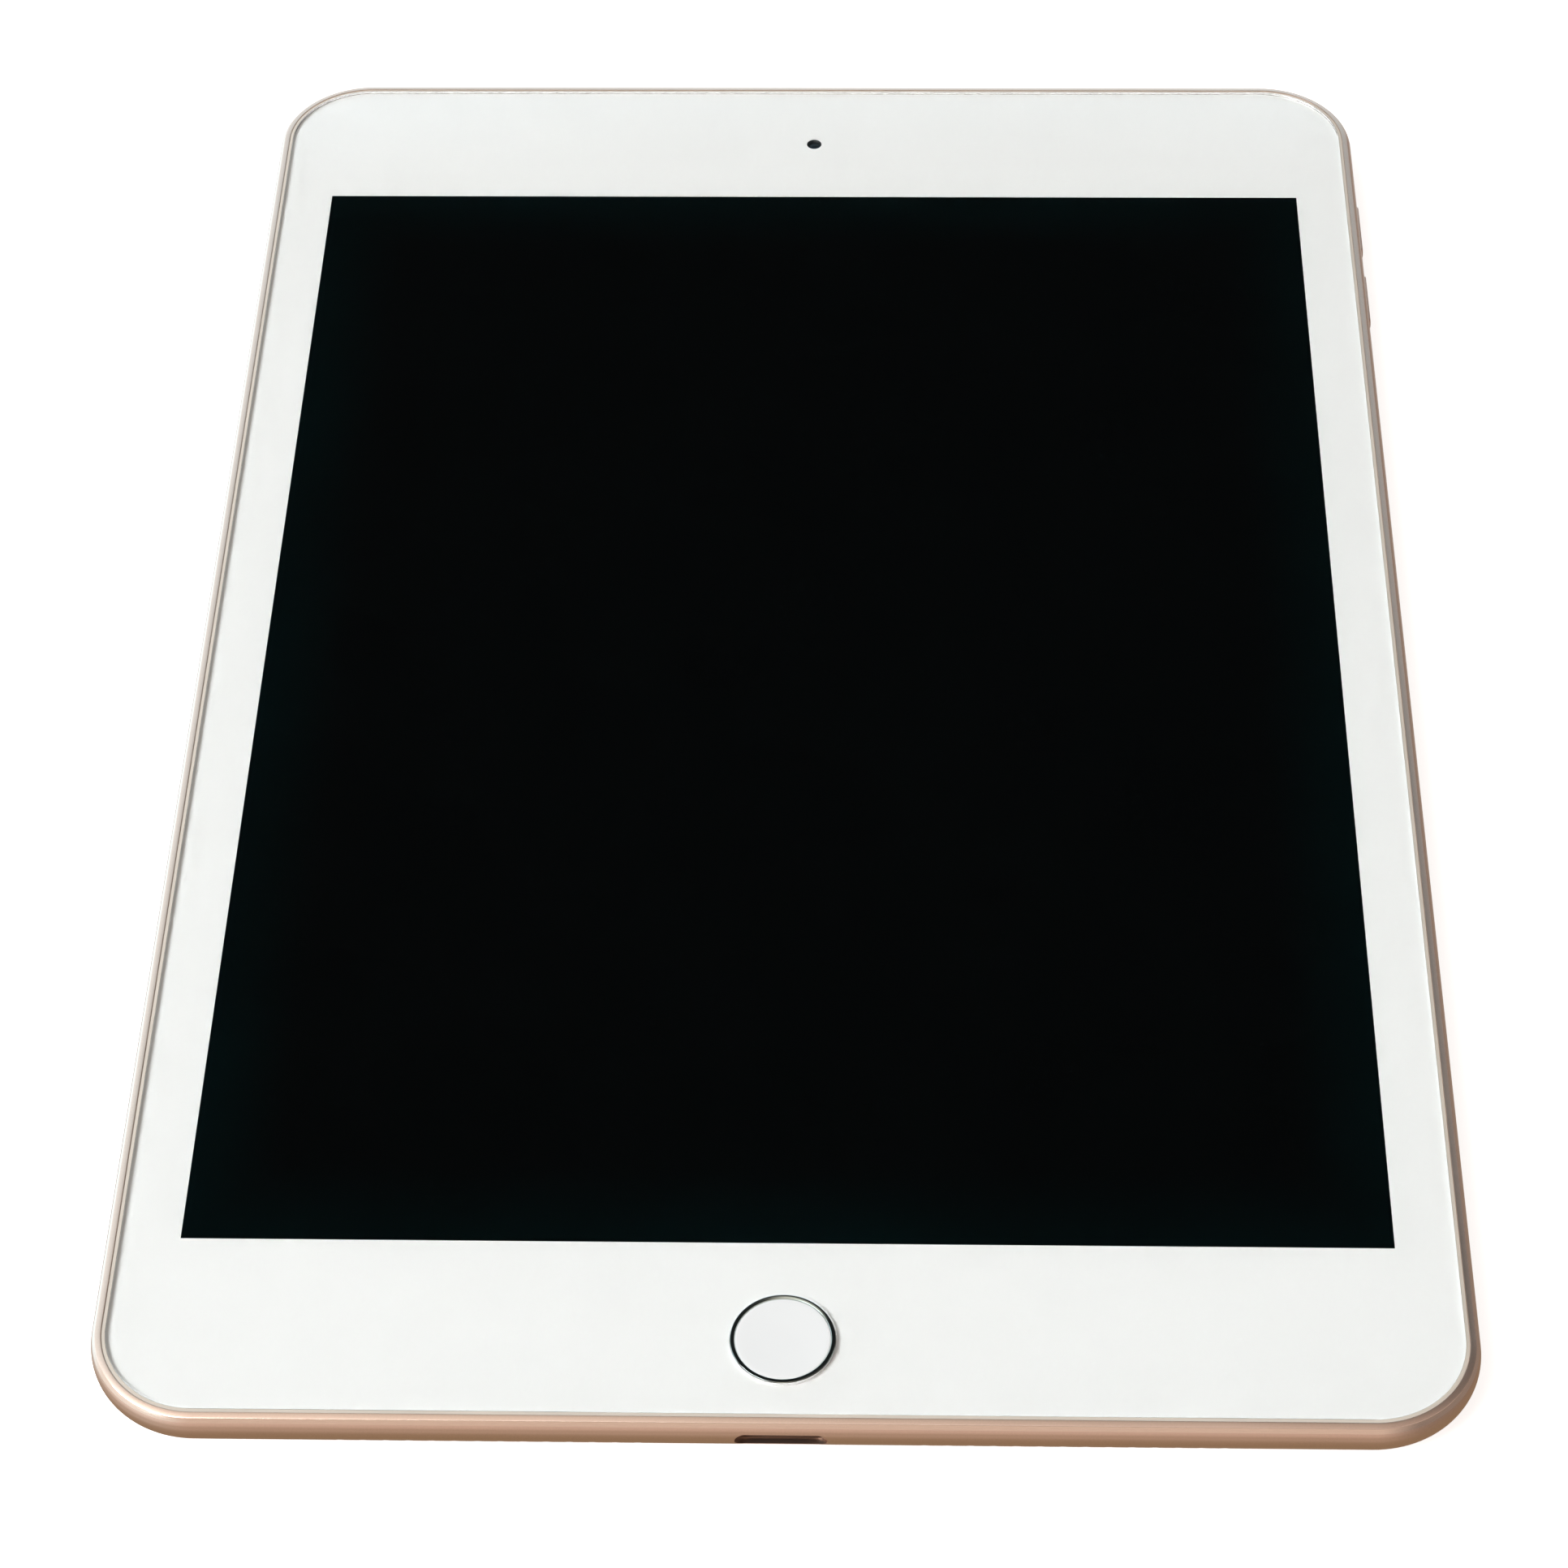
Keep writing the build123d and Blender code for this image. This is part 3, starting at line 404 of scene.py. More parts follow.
def printed_film(name, colour, line):
    """Thin polyimide or polyester film with long parallel tracks showing through."""
    made = Paint(name)
    tracks = made.node(
        "ShaderNodeTexWave",
        {"Vector": made.place, "Scale": 520.0, "Distortion": 0.6, "Detail": 1.0, "Detail Scale": 0.4},
        bands_direction="DIAGONAL",
    ).outputs["Fac"]
    lines = made.spread(tracks, 0.0, 1.0, 0.45, 0.55)
    made.colour(made.mixed(lines, colour, line))
    made.roughness(made.spread(made.noise(500.0), 0.3, 0.5))
    made.bump(tracks, 0.15, 2e-5)
    return made


def woven(name, colour):
    """Fine woven wire cloth."""
    made = Paint(name, Metallic=0.3)
    over = made.node(
        "ShaderNodeTexWave", {"Vector": made.place, "Scale": 1500.0}, bands_direction="X"
    ).outputs["Fac"]
    under = made.node(
        "ShaderNodeTexWave", {"Vector": made.place, "Scale": 1500.0}, bands_direction="Z"
    ).outputs["Fac"]
    cloth = made.node("ShaderNodeMath", {0: over, 1: under}, operation="MULTIPLY").outputs[0]
    made.colour(made.ramp(cloth, (0.1, tint(colour, 0.2)), (0.8, tint(colour, 1.6))))
    made.roughness(made.spread(cloth, 0.45, 0.75, 0.0, 1.0))
    made.bump(cloth, 0.6, 5e-5)
    return made


def anodised(name, colour, rough, grain):
    """Bead-blasted, anodised aluminium: a fine even grain under a satin oxide layer."""
    made = Paint(name, Metallic=1.0)
    beads = made.noise(5200.0, 2.0, roughness=0.65)
    broad = made.noise(55.0, 3.0)
    speck = made.ramp(beads, (0.25, tint(colour, 0.94)), (0.75, tint(colour, 1.05)))
    made.colour(made.mixed(made.spread(broad, 0.0, 0.5), speck, tint(colour, 0.97)))
    made.roughness(made.spread(broad, rough * 0.93, rough * 1.07))
    if grain:
        made.bump(beads, grain, 4e-6)
    return made


def polished(name, colour, rough):
    """A turned or diamond-cut bright edge, with faint tool lines."""
    made = Paint(name, Metallic=1.0)
    lines = made.noise(900.0, 3.0, made.stretched(1, 1, 14))
    made.colour(made.ramp(lines, (0.3, tint(colour, 0.97)), (0.7, tint(colour, 1.03))))
    made.roughness(made.spread(lines, rough * 0.8, rough * 1.25))
    return made


# ---------------------------------------------------------------- materials
GOLD = (0.80, 0.60, 0.50)
BRIGHT_CUT = (0.85, 0.70, 0.60)
DARK_GLASS = (0.0012, 0.0017, 0.0018)
DARK_TEAL = (0.001, 0.0042, 0.0046)
TEAL_MARGIN = 9.0
COATED_GLASS_IOR = 1.3


def screen_paint(name):
    """The switched-off panel: near black, a breath of teal towards its edges, a fine speckle in its gloss.
    """
    made = Paint(name, Specular_IOR_Level=0.0)
    axes = made.node("ShaderNodeSeparateXYZ", {"Vector": made.place})
    shares = []
    for axis, half in (("X", SCREEN_HALF[0]), ("Y", SCREEN_HALF[1])):
        size = made.node("ShaderNodeMath", {0: axes.outputs[axis]}, operation="ABSOLUTE").outputs[0]
        shares.append(made.spread(size, 0.0, 1.0, (half - TEAL_MARGIN) * MM, half * MM))
    edge = made.node("ShaderNodeMath", {0: shares[0], 1: shares[1]}, operation="MAXIMUM").outputs[0]
    cloud = made.spread(made.noise(45.0), 0.6, 1.0)
    share = made.node("ShaderNodeMath", {0: edge, 1: cloud}, operation="MULTIPLY").outputs[0]
    made.colour(made.mixed(share, DARK_GLASS, DARK_TEAL))
    made.roughness(made.spread(made.noise(3000.0), 0.5, 0.6))
    return made


def glass_paint(name, colour):
    """Coated optical glass, with a very faint body tint that drifts across it."""
    made = Paint(name, Transmission_Weight=1.0, Roughness=0.0, IOR=COATED_GLASS_IOR)
    made.colour(made.ramp(made.noise(12.0), (0.3, tint(colour, 0.998)), (0.7, colour)))
    return made


PAINTS = {
    "anodised_aluminium": anodised("bead_blasted_gold", GOLD, 0.34, 0.25),
    "polished_edge": polished("bright_cut_gold", BRIGHT_CUT, 0.16),
    "white_ink": plain(
        "white_ink", (0.935, 0.94, 0.925), 0.5, 30.0, 0.006, 0.05, 3000.0, Specular_IOR_Level=0.0
    ),
    # the surround's own plastic tone, darkened from white to paint the shade in the groove between rim and
    # glass
    "white_plastic": plain("surround_plastic_painted_groove_shade", (0.47, 0.42, 0.36), 0.42, 120.0, 0.05, 0.1),
    "black_adhesive": plain("foam_adhesive", (0.012, 0.012, 0.012), 0.8, 300.0, 0.2, 0.4, 1800.0),
    "black_display": screen_paint("switched_off_panel"),
    "white_film": plain("diffuser_film", (0.82, 0.83, 0.84), 0.45, 60.0, 0.02, 0.1),
    "stainless_steel": brushed("rolled_steel", (0.62, 0.61, 0.59), 0.28),
    "screw_steel": brushed("screw_steel", (0.5, 0.49, 0.47), 0.25, (40, 40, 1), 0.08),
    # socket steel, darkened to paint the shade inside the charging port's mouth
    "socket_steel": brushed("socket_steel", (0.27, 0.21, 0.17), 0.34, (1, 30, 30), 0.08),
    "circuit_board": soldered_board("soldered_board"),
    "flex_film": printed_film("printed_film", (0.05, 0.035, 0.02), (0.16, 0.09, 0.03)),
    "white_cap": plain("button_white", (0.64, 0.645, 0.64), 0.12, 200.0, 0.008, 0.03, 2500.0),
    "polished_ring": polished("polished_ring", (0.74, 0.84, 0.81), 0.05),
    "black_plastic": plain("moulded_black", (0.02, 0.02, 0.021), 0.5, 260.0, 0.15, 0.2, 2600.0),
    "cell_pouch": plain("cell_pouch", (0.03, 0.031, 0.033), 0.36, 90.0, 0.2, 0.5, 260.0),
    "chip_package": plain("chip_package", (0.022, 0.022, 0.024), 0.55, 700.0, 0.25, 0.3, 5200.0),
    "gold_contact": brushed("gold_contact", (0.9, 0.66, 0.3), 0.2, (30, 1, 30), 0.06),
    "black_mesh": woven("woven_wire", (0.03, 0.03, 0.032)),
    "jack_plastic": plain("jack_plastic", (0.16, 0.15, 0.145), 0.42, 300.0, 0.08, 0.15),
    "cable_jacket": plain("cable_jacket", (0.018, 0.018, 0.02), 0.4, 900.0, 0.15, 0.3, 5000.0),
    "magnet_plating": brushed("magnet_plating", (0.55, 0.55, 0.54), 0.3, (20, 1, 20), 0.1),
    "lens_black": plain("lens_black", (0.004, 0.0048, 0.005), 0.6, 600.0, 0.2, 0.2, 3000.0),
    "clear_glass": glass_paint("clear_glass", (0.995, 1.0, 0.998)),
    "lens_glass": glass_paint("lens_glass", (0.35, 0.42, 0.5)),
}

for part in frame["record"]["subparts"]:
    shown = nodes[part["node"]]
    shown.data.materials.clear()
    shown.data.materials.append(PAINTS[part["material_slot"]].material)


def dress(piece, body, slot, paints, *replaced):
    """Gives a finished piece its materials and body, and hides the CAD nodes that it stands for; the slot
    argument is not used.
    """
    piece.data.materials.clear()
    for paint in paints:
        piece.data.materials.append(PAINTS[paint].material)
    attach(piece, body)
    if replaced:
        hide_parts(*replaced)


# ---------------------------------------------------------------- housing
# the outer side as (inset, z) points: belly, wall, soft edge, then a rim that falls slightly outwards
CROWN_START, CROWN_END = 0.55, 1.17
CROWN_SLOPE, CROWN_DROP = 0.10, 0.16
CROWN = [
    (CROWN_END - run, RIM_TOP - CROWN_SLOPE * run - CROWN_DROP * run**2)
    for run in ((CROWN_END - CROWN_START) * (1 - i / 10) for i in range(11))
]
SIDE_PROFILE = [
    *round_corners(
        [(9.0, 0.0), (4.2, 0.0), (0.0, 2.4), (0.0, 4.4), (0.12, 5.15), (0.28, 5.57), CROWN[0], CROWN[2]],
        [7.0, 2.8, 3.0, 2.2, 0.7, 0.2],
        14,
    )[:-1],
    *CROWN[2:],
    (RIM_INNER - 0.01, RIM_TOP - 0.008),
    (RIM_INNER, RIM_TOP - 0.03),
    (RIM_INNER, LEDGE_Z),
]
POLISHED_FROM_Z, POLISHED_SLOPE = 5.3, (0.36, 0.9)


def side_inset(z):
    """How far the outer side lies inside the outline at height z."""
    for (inset_a, z_a), (inset_b, z_b) in zip(SIDE_PROFILE, SIDE_PROFILE[1:]):
        if z_a <= z <= z_b and z_b > z_a:
            return inset_a + (inset_b - inset_a) * (z - z_a) / (z_b - z_a)
    return 0.0


WALLS = {
    "bottom": lambda u, depth, z: (u, -HALF_L + depth, z),
    "top": lambda u, depth, z: (-u, HALF_L - depth, z),
    "right": lambda u, depth, z: (HALF_W - depth, u, z),
}


def wall_opening(bm, wall, u, z, shape, bevel):
    """Adds a cutter through a side wall; its mouth has an even bevel that follows the curved side."""
    place = WALLS[wall]
    spare = 0.08
    rings = []
    for grow, level in ((bevel + spare, "out"), (bevel + spare, "lip"), (0.0, "neck"), (0.0, "end")):
        ring = []
        for du, dz in grown(shape, grow):
            surface = side_inset(z + dz)
            at = {"out": -1.0, "lip": surface - spare, "neck": surface + bevel, "end": CUT_DEPTH}[level]
            ring.append(place(u + du, at, z + dz))
        rings.append(ring)
    add_loft(bm, rings)


def build_housing():
    """The shell in one piece, with its wall and back openings and the pockets behind the keys."""
    profile = [
        *SIDE_PROFILE,
        (RIM_INNER + 0.05, LEDGE_Z),
        (WALL_INNER - 0.04, LEDGE_Z),
        (WALL_INNER, LEDGE_Z - 0.04),
        (WALL_INNER, FLOOR_Z + 0.3),
        (WALL_INNER + 0.09, FLOOR_Z + 0.09),
        (WALL_INNER + 0.3, FLOOR_Z),
        (WALL_INNER + 2.5, FLOOR_Z),
    ]
    shell = loft("housing_shell", [[(x, y, z) for x, y in outline(i)] for i, z in profile])
    bm = bmesh.new()
    wall_opening(bm, "bottom", 0.0, PORT_Z, oblong(*PORT_SIZE), 0.06)
    for side in (-1, 1):
        for i in range(SPEAKER_HOLES):
            u = side * SPEAKER_U + (i - (SPEAKER_HOLES - 1) / 2) * SPEAKER_PITCH
            wall_opening(bm, "bottom", u, SPEAKER_Z, circle(SPEAKER_RADIUS, 32), 0.07)
    wall_opening(bm, "top", JACK_U, JACK_Z, circle(JACK_RADIUS), 0.14)
    wall_opening(bm, "top", 0.0, MICROPHONE_Z, circle(MICROPHONE_RADIUS, 32), 0.06)
    for wall, u in KEY_PLACES:
        wall_opening(bm, wall, u, KEY_Z, oblong(*KEY_SLOT), 0.07)
    for centre, radius, bevel, count in (
        (REAR_CAMERA, REAR_CAMERA_HOLE_RADIUS, 0.1, 96),
        (REAR_MICROPHONE, MICROPHONE_RADIUS, 0.06, 32),
    ):
        mouth = [(radius + bevel + 0.2, -0.2), (radius, bevel), (radius, 1.5)]
        add_loft(bm, turned(mouth, centre, count))
    cut(shell, mesh_object("openings", bm))
    bm = bmesh.new()
    pocket = box_outline(*KEY_POCKET)
    for wall, u in KEY_PLACES:
        place = WALLS[wall]
        depths = (FLANGE_START - 0.05, CUT_DEPTH)
        add_loft(bm, [[place(u + du, depth, KEY_Z + dz) for du, dz in pocket] for depth in depths])
    cut(shell, mesh_object("pockets", bm))
    smooth(shell)
    dress(shell, "housing", "anodised_aluminium", ("anodised_aluminium", "polished_edge"), "rear_housing")
    low, high = POLISHED_SLOPE
    for face in shell.data.polygons:
        if face.center.z > POLISHED_FROM_Z * MM and low < face.normal.z < high:
            face.material_index = 1


build_housing()

# ---------------------------------------------------------------- glass, border and surround
def glass_outline(inset):
    """The cover glass's outline moved inwards by inset."""
    return outline(GLASS_INSET + inset)


def build_glass():
    """The cover glass with rounded edges and the flared hole for the round button."""
    inside = 1.2
    profile = round_corners(
        [(inside, GLASS_BOTTOM), (0.0, GLASS_BOTTOM), (0.0, TOP_Z), (inside, TOP_Z)], [0.04, 0.14], 12
    )
    pane = loft("cover_pane", [[(x, y, z) for x, y in glass_outline(i)] for i, z in profile])
    flare = ((0.0, -0.9), (0.0, -0.08), (0.01, -0.045), (0.035, -0.015), (0.08, 0.001), (0.42, 0.02))
    bm = bmesh.new()
    add_loft(bm, turned([(HOME_HOLE_RADIUS + out, TOP_Z + up) for out, up in flare], HOME, 128))
    cut(pane, mesh_object("button_hole", bm))
    smooth(pane)
    dress(pane, "housing", "clear_glass", ("clear_glass",), "cover_glass")


def build_border():
    """The printed border under the glass, with its screen, button and camera openings."""
    top = GLASS_BOTTOM - INK_GAP
    rings = [[(x, y, z) for x, y in glass_outline(INK_INSET)] for z in (top - INK_THICKNESS, top)]
    border = loft("white_border", rings)
    bm = bmesh.new()
    half_x, half_y = SCREEN_HALF
    window = [(half_x, half_y), (-half_x, half_y), (-half_x, -half_y), (half_x, -half_y)]
    add_loft(bm, [[(x, y, z) for x, y in window] for z in WINDOW_CUT])
    for centre, radius, count in ((HOME, HOME_HOLE_RADIUS, 128), (FRONT_CAMERA, FRONT_WINDOW_RADIUS, 64)):
        add_loft(bm, turned([(radius, z) for z in WINDOW_CUT], centre, count))
    cut(border, mesh_object("windows", bm))
    smooth(border, weighted=False)
    dress(border, "housing", "white_ink", ("white_ink",), "bezel_mask")


def build_surround():
    """The thin plastic ring in the groove between the rim and the glass, slightly higher at the glass."""
    outer, inner = RIM_INNER + 0.01, GLASS_INSET - 0.015
    profile = round_corners(
        [(inner, 5.6), (inner, LEDGE_Z), (outer, LEDGE_Z), (outer, 5.93), (inner, 5.975), (inner, 5.8)],
        [0.03, 0.03, 0.05, 0.03],
        5,
    )
    ring = loft("surround_ring", [[(x, y, z) for x, y in outline(i)] for i, z in profile], capped=False)
    smooth(ring)
    dress(ring, "housing", "white_plastic", ("white_plastic",), "glass_surround")


build_glass()
build_border()
build_surround()

# ---------------------------------------------------------------- home button
CAP_RADIUS, CAP_BOTTOM, CAP_TOP = 4.68, 5.35, 6.0
DISH_RADIUS, DISH_DEPTH, DISH_STEPS = 4.4, 0.07, 12


def build_home_button():
    """The round button: a slightly dished cap, and a thin bright ring whose top slopes inwards."""
    dish = [(0.02, CAP_BOTTOM), (CAP_RADIUS, CAP_BOTTOM), (CAP_RADIUS, 5.9), (4.65, 5.965), (4.58, 5.995)]
    dish.append((4.48, CAP_TOP))
    for i in range(1, DISH_STEPS + 1):
        radius = DISH_RADIUS * (1 - i / (DISH_STEPS + 0.5))
        dish.append((radius, CAP_TOP - DISH_DEPTH * (1 - (radius / DISH_RADIUS) ** 2)))
    cap = loft("home_cap", turned(dish, HOME, 128))
    smooth(cap)
    dress(cap, "home_button", "white_cap", ("white_cap",), "home_button_cap")
    profile = round_corners(
        [(4.9, 5.05), (5.1, 5.05), (5.1, 6.06), (4.73, 6.034), (4.7, 5.99), (4.7, 5.05), (4.9, 5.05)],
        [0.02, 0.02, 0.02, 0.02, 0.02],
        6,
    )[:-1]
    ring = loft("home_ring", turned(profile, HOME, 160), capped=False)
    smooth(ring)
    dress(ring, "home_button", "polished_ring", ("polished_ring",), "home_button_ring")


build_home_button()


# ---------------------------------------------------------------- side keys
def build_key(name, body, wall, u, node):
    """An oblong key with a rounded outer edge, its flange and its plunger, as one closed body."""
    place = WALLS[wall]
    plunger, flange = circle(PLUNGER_RADIUS), box_outline(*KEY_FLANGE)
    sections = [(plunger, PLUNGER_END), (plunger, FLANGE_END), (flange, FLANGE_END), (flange, FLANGE_START)]
    sections.append((oblong(*KEY_SIZE), FLANGE_START))
    length, height = KEY_SIZE
    edge, steps = 0.2, 8
    for i in range(steps + 1):
        angle = pi / 2 * i / steps
        shape = oblong(length - 2 * edge * (1 - cos(angle)), height - 2 * edge * (1 - cos(angle)))
        sections.append((shape, -KEY_PROUD + edge - edge * sin(angle)))
    rings = [[place(u + du, depth, KEY_Z + dz) for du, dz in shape] for shape, depth in sections]
    key = loft(name, rings)
    smooth(key)
    dress(key, body, "anodised_aluminium", ("anodised_aluminium",), node)


build_key("power_key", "power_button", "top", POWER_U, "power_button")
build_key("volume_up_key", "volume_up_button", "right", VOLUME_UP_U, "volume_up_button")
build_key("volume_down_key", "volume_down_button", "right", VOLUME_DOWN_U, "volume_down_button")

# ---------------------------------------------------------------- snap domes
HOME_SWITCH_TOP = 4.17
DOME_HEIGHT, DOME_PRESSED_SHARE = 0.28, 0.1
HOME_DOME_RADIUS, KEY_DOME_RADIUS = 1.4, 0.95


def bulge(radius):
    """A low rounded bulge on a flat base, as (radius, height) points from its base to its middle."""
    middle, lip, steps = 0.02, 0.02, 10
    points = [(middle, 0.0), (radius - 0.08, 0.0)]
    for i in range(steps + 1):
        angle = pi / 2 * i / steps
        points.append((middle + (radius - middle) * cos(angle), lip + (DOME_HEIGHT - lip) * sin(angle)))
    return points


def finish_dome(dome, anchor, node):
    """A steel dome, shaded smooth, painted, put on the housing body and given its own mesh."""
    smooth(dome)
    dress(dome, "housing", "stainless_steel", ("stainless_steel",), node)
    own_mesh(dome)


def build_home_dome():
    """The dome under the round button's carrier."""
    profile = [(r, HOME_SWITCH_TOP + h) for r, h in bulge(HOME_DOME_RADIUS)]
    dome = loft("home_snap_dome", turned(profile, HOME, 64))
    finish_dome(dome, (*HOME, HOME_SWITCH_TOP), "home_button_dome")


def build_key_dome(name, wall, u, node):
    """The dome behind one side key, its flat side against the switch."""
    place = WALLS[wall]
    rings = []
    for r, h in bulge(KEY_DOME_RADIUS):
        rings.append([place(u + du, SWITCH_DEPTH - h, KEY_Z + dz) for du, dz in circle(r)])
    finish_dome(loft(name, rings), place(u, SWITCH_DEPTH, KEY_Z), node)


build_home_dome()
for name, joint, wall, u, axis, node in (
    ("power_snap_dome", "power_press", "top", POWER_U, (0, 1, 0), "power_button_dome"),
    ("volume_up_snap_dome", "volume_up_press", "right", VOLUME_UP_U, (1, 0, 0), "volume_up_dome"),
    ("volume_down_snap_dome", "volume_down_press", "right", VOLUME_DOWN_U, (1, 0, 0), "volume_down_dome"),
):
    build_key_dome(name, wall, u, node)


# ---------------------------------------------------------------- charging socket
# depths go in from the outer face of the near wall
SOCKET_MOUTH, SOCKET_NOSE = (7.2, 1.75), (8.78, 2.18)
SOCKET_LIP, SOCKET_SHOULDER, SOCKET_END = 1.4, 4.1, 7.8
SOCKET_BODY, SOCKET_BODY_Z = (11.2, 3.45), 2.725
EAR_SIZE, EAR_CORNER, EAR_Y = (18.0, 2.8), 1.0, -95.3
EAR_HOLE_X, EAR_HOLE_RADIUS = 7.5, 0.75
CONTACTS, CONTACT_PITCH = 8, 0.72


def build_socket_shell():
    """A cup with a rounded lip, and its wider body behind the wall."""
    place = WALLS["bottom"]
    mouth, nose = oblong(*SOCKET_MOUTH), oblong(*SOCKET_NOSE)
    sections = [
        (mouth, 0.0, SOCKET_END - 0.6),
        (mouth, 0.0, SOCKET_LIP + 0.12),
        (mouth, 0.04, SOCKET_LIP + 0.03),
        (mouth, 0.1, SOCKET_LIP),
        (nose, -0.08, SOCKET_LIP),
        (nose, -0.02, SOCKET_LIP + 0.03),
        (nose, 0.0, SOCKET_LIP + 0.12),
        (nose, 0.0, SOCKET_SHOULDER),
    ]
    rings = []
    for shape, grow, depth in sections:
        rings.append([place(u, depth, PORT_Z + dz) for u, dz in (grown(shape, grow) if grow else shape)])
    for grow, depth in (
        (-0.2, SOCKET_SHOULDER),
        (-0.06, SOCKET_SHOULDER + 0.06),
        (0.0, SOCKET_SHOULDER + 0.2),
        (0.0, SOCKET_END - 0.2),
        (-0.06, SOCKET_END - 0.06),
        (-0.2, SOCKET_END),
    ):
        ring = box_outline(SOCKET_BODY[0] + 2 * grow, SOCKET_BODY[1] + 2 * grow, 0.5 + grow)
        rings.append([place(u, depth, SOCKET_BODY_Z + dz) for u, dz in ring])
    shell = loft("socket_shell", rings)
    smooth(shell)
    dress(shell, "housing", "socket_steel", ("socket_steel",), "charging_socket")


def build_socket_ears():
    """The flat plate with two screw holes that the socket's body passes through."""
    place = WALLS["bottom"]
    length, width = EAR_SIZE
    rings = []
    for grow, z in ((-0.08, 1.82), (0.0, 1.9), (0.0, 2.24), (-0.08, 2.32)):
        ring = box_outline(length + 2 * grow, width + 2 * grow, EAR_CORNER + grow)
        rings.append([(x, EAR_Y + y, z) for x, y in ring])
    ears = loft("socket_ears", rings)
    bm = bmesh.new()
    for x in (-EAR_HOLE_X, EAR_HOLE_X):
        add_loft(bm, turned([(EAR_HOLE_RADIUS, 1.7), (EAR_HOLE_RADIUS, 2.45)], (x, EAR_Y), 48))
    body = box_outline(*SOCKET_BODY, 0.5)
    depths = (SOCKET_SHOULDER - 0.1, SOCKET_END + 0.2)
    add_loft(bm, [[place(u, depth, SOCKET_BODY_Z + dz) for u, dz in body] for depth in depths])
    cut(ears, mesh_object("ear_holes", bm))
    smooth(ears)
    dress(ears, "housing", "socket_steel", ("socket_steel",))


def build_socket_contacts():
    """Spring blades on the mouth's lower side, each with a raised and tapered tip."""
    place = WALLS["bottom"]
    low = PORT_Z - SOCKET_MOUTH[1] / 2
    blade = [(3.0, 0.2, 0.04), (3.06, 0.3, 0.09), (3.25, 0.36, 0.14), (3.5, 0.36, 0.15)]
    blade += [(3.8, 0.36, 0.12), (4.3, 0.36, 0.09), (6.9, 0.36, 0.09), (7.0, 0.3, 0.06)]
    bm = bmesh.new()
    for i in range(CONTACTS):
        middle = (i - (CONTACTS - 1) / 2) * CONTACT_PITCH
        rings = []
        for depth, width, height in blade:
            shape = box_outline(width, height, min(width, height) * 0.3, 32)
            rings.append([place(middle + u, depth, low + height / 2 + dz) for u, dz in shape])
        add_loft(bm, rings)
    contacts = mesh_object("socket_contacts", bm)
    smooth(contacts)
    dress(contacts, "housing", "gold_contact", ("gold_contact",), "charging_contacts")


build_socket_shell()
build_socket_ears()
build_socket_contacts()


# ---------------------------------------------------------------- cameras
def lens_dome(radius, base, rise):
    """The rounded face of a lens as (radius, z) points, from its edge almost to its middle."""
    steps = 12
    points = []
    for i in range(steps):
        angle = pi / 2 * i / steps
        points.append((radius * cos(angle), base + rise * sin(angle)))
    return points


def build_cameras():
    """The back camera's trim, window, mask and lens, and the front camera's lens in its collar."""
    trim = round_corners(
        [
            (3.45, 0.05),
            (3.75, 0.05),
            (3.75, 0.9),
            (2.7, 0.9),
            (2.7, 0.6),
            (3.1, 0.6),
            (3.1, 0.24),
            (3.27, 0.05),
            (3.45, 0.05),
        ],
        [0.14, 0.05, 0.05, 0.05, 0.02, 0.05, 0.05],
        6,
    )[:-1]
    ring = loft("rear_trim", turned(trim, REAR_CAMERA, 144), capped=False)
    pane = [(0.02, 0.2), (2.96, 0.2), (3.02, 0.22), (3.06, 0.28), (3.06, 0.58), (0.02, 0.58)]
    window = loft("rear_window", turned(pane, REAR_CAMERA, 128))
    mask = round_corners(
        [(2.2, 0.6), (2.66, 0.6), (2.66, 0.7), (1.9, 0.7), (1.35, 0.66), (1.6, 0.6), (2.2, 0.6)],
        [0.02, 0.02, 0.05, 0.015, 0.02],
        4,
    )[:-1]
    hood = loft("rear_mask", turned(mask, REAR_CAMERA, 128), capped=False)
    body = [(0.02, 1.08), (1.45, 1.08), (1.45, 1.03), *lens_dome(1.4, 1.03, -0.28), (0.02, 0.75)]
    lens = loft("rear_lens", turned(body, REAR_CAMERA, 96))
    body = [(0.02, 4.92), (0.8, 4.92), (0.8, 4.96), *lens_dome(0.78, 4.96, 0.16), (0.02, 5.12)]
    eye = loft("front_lens", turned(body, FRONT_CAMERA, 96))
    collar = round_corners(
        [(1.1, 4.92), (1.27, 4.92), (1.27, 5.18), (1.15, 5.18), (0.86, 5.04), (0.86, 4.92), (1.1, 4.92)],
        [0.02, 0.02, 0.04, 0.03, 0.02],
        4,
    )[:-1]
    rim = loft("front_lens_collar", turned(collar, FRONT_CAMERA, 96), capped=False)
    for piece in (ring, window, hood, lens, eye, rim):
        smooth(piece)
    dress(ring, "housing", "anodised_aluminium", ("polished_edge",), "rear_camera_trim")
    dress(window, "housing", "clear_glass", ("clear_glass",), "rear_camera_window")
    dress(hood, "housing", "black_plastic", ("lens_black",))
    dress(lens, "housing", "clear_glass", ("lens_glass",))
    dress(eye, "housing", "clear_glass", ("lens_glass",), "front_camera_lens")
    dress(rim, "housing", "black_plastic", ("lens_black",))


build_cameras()

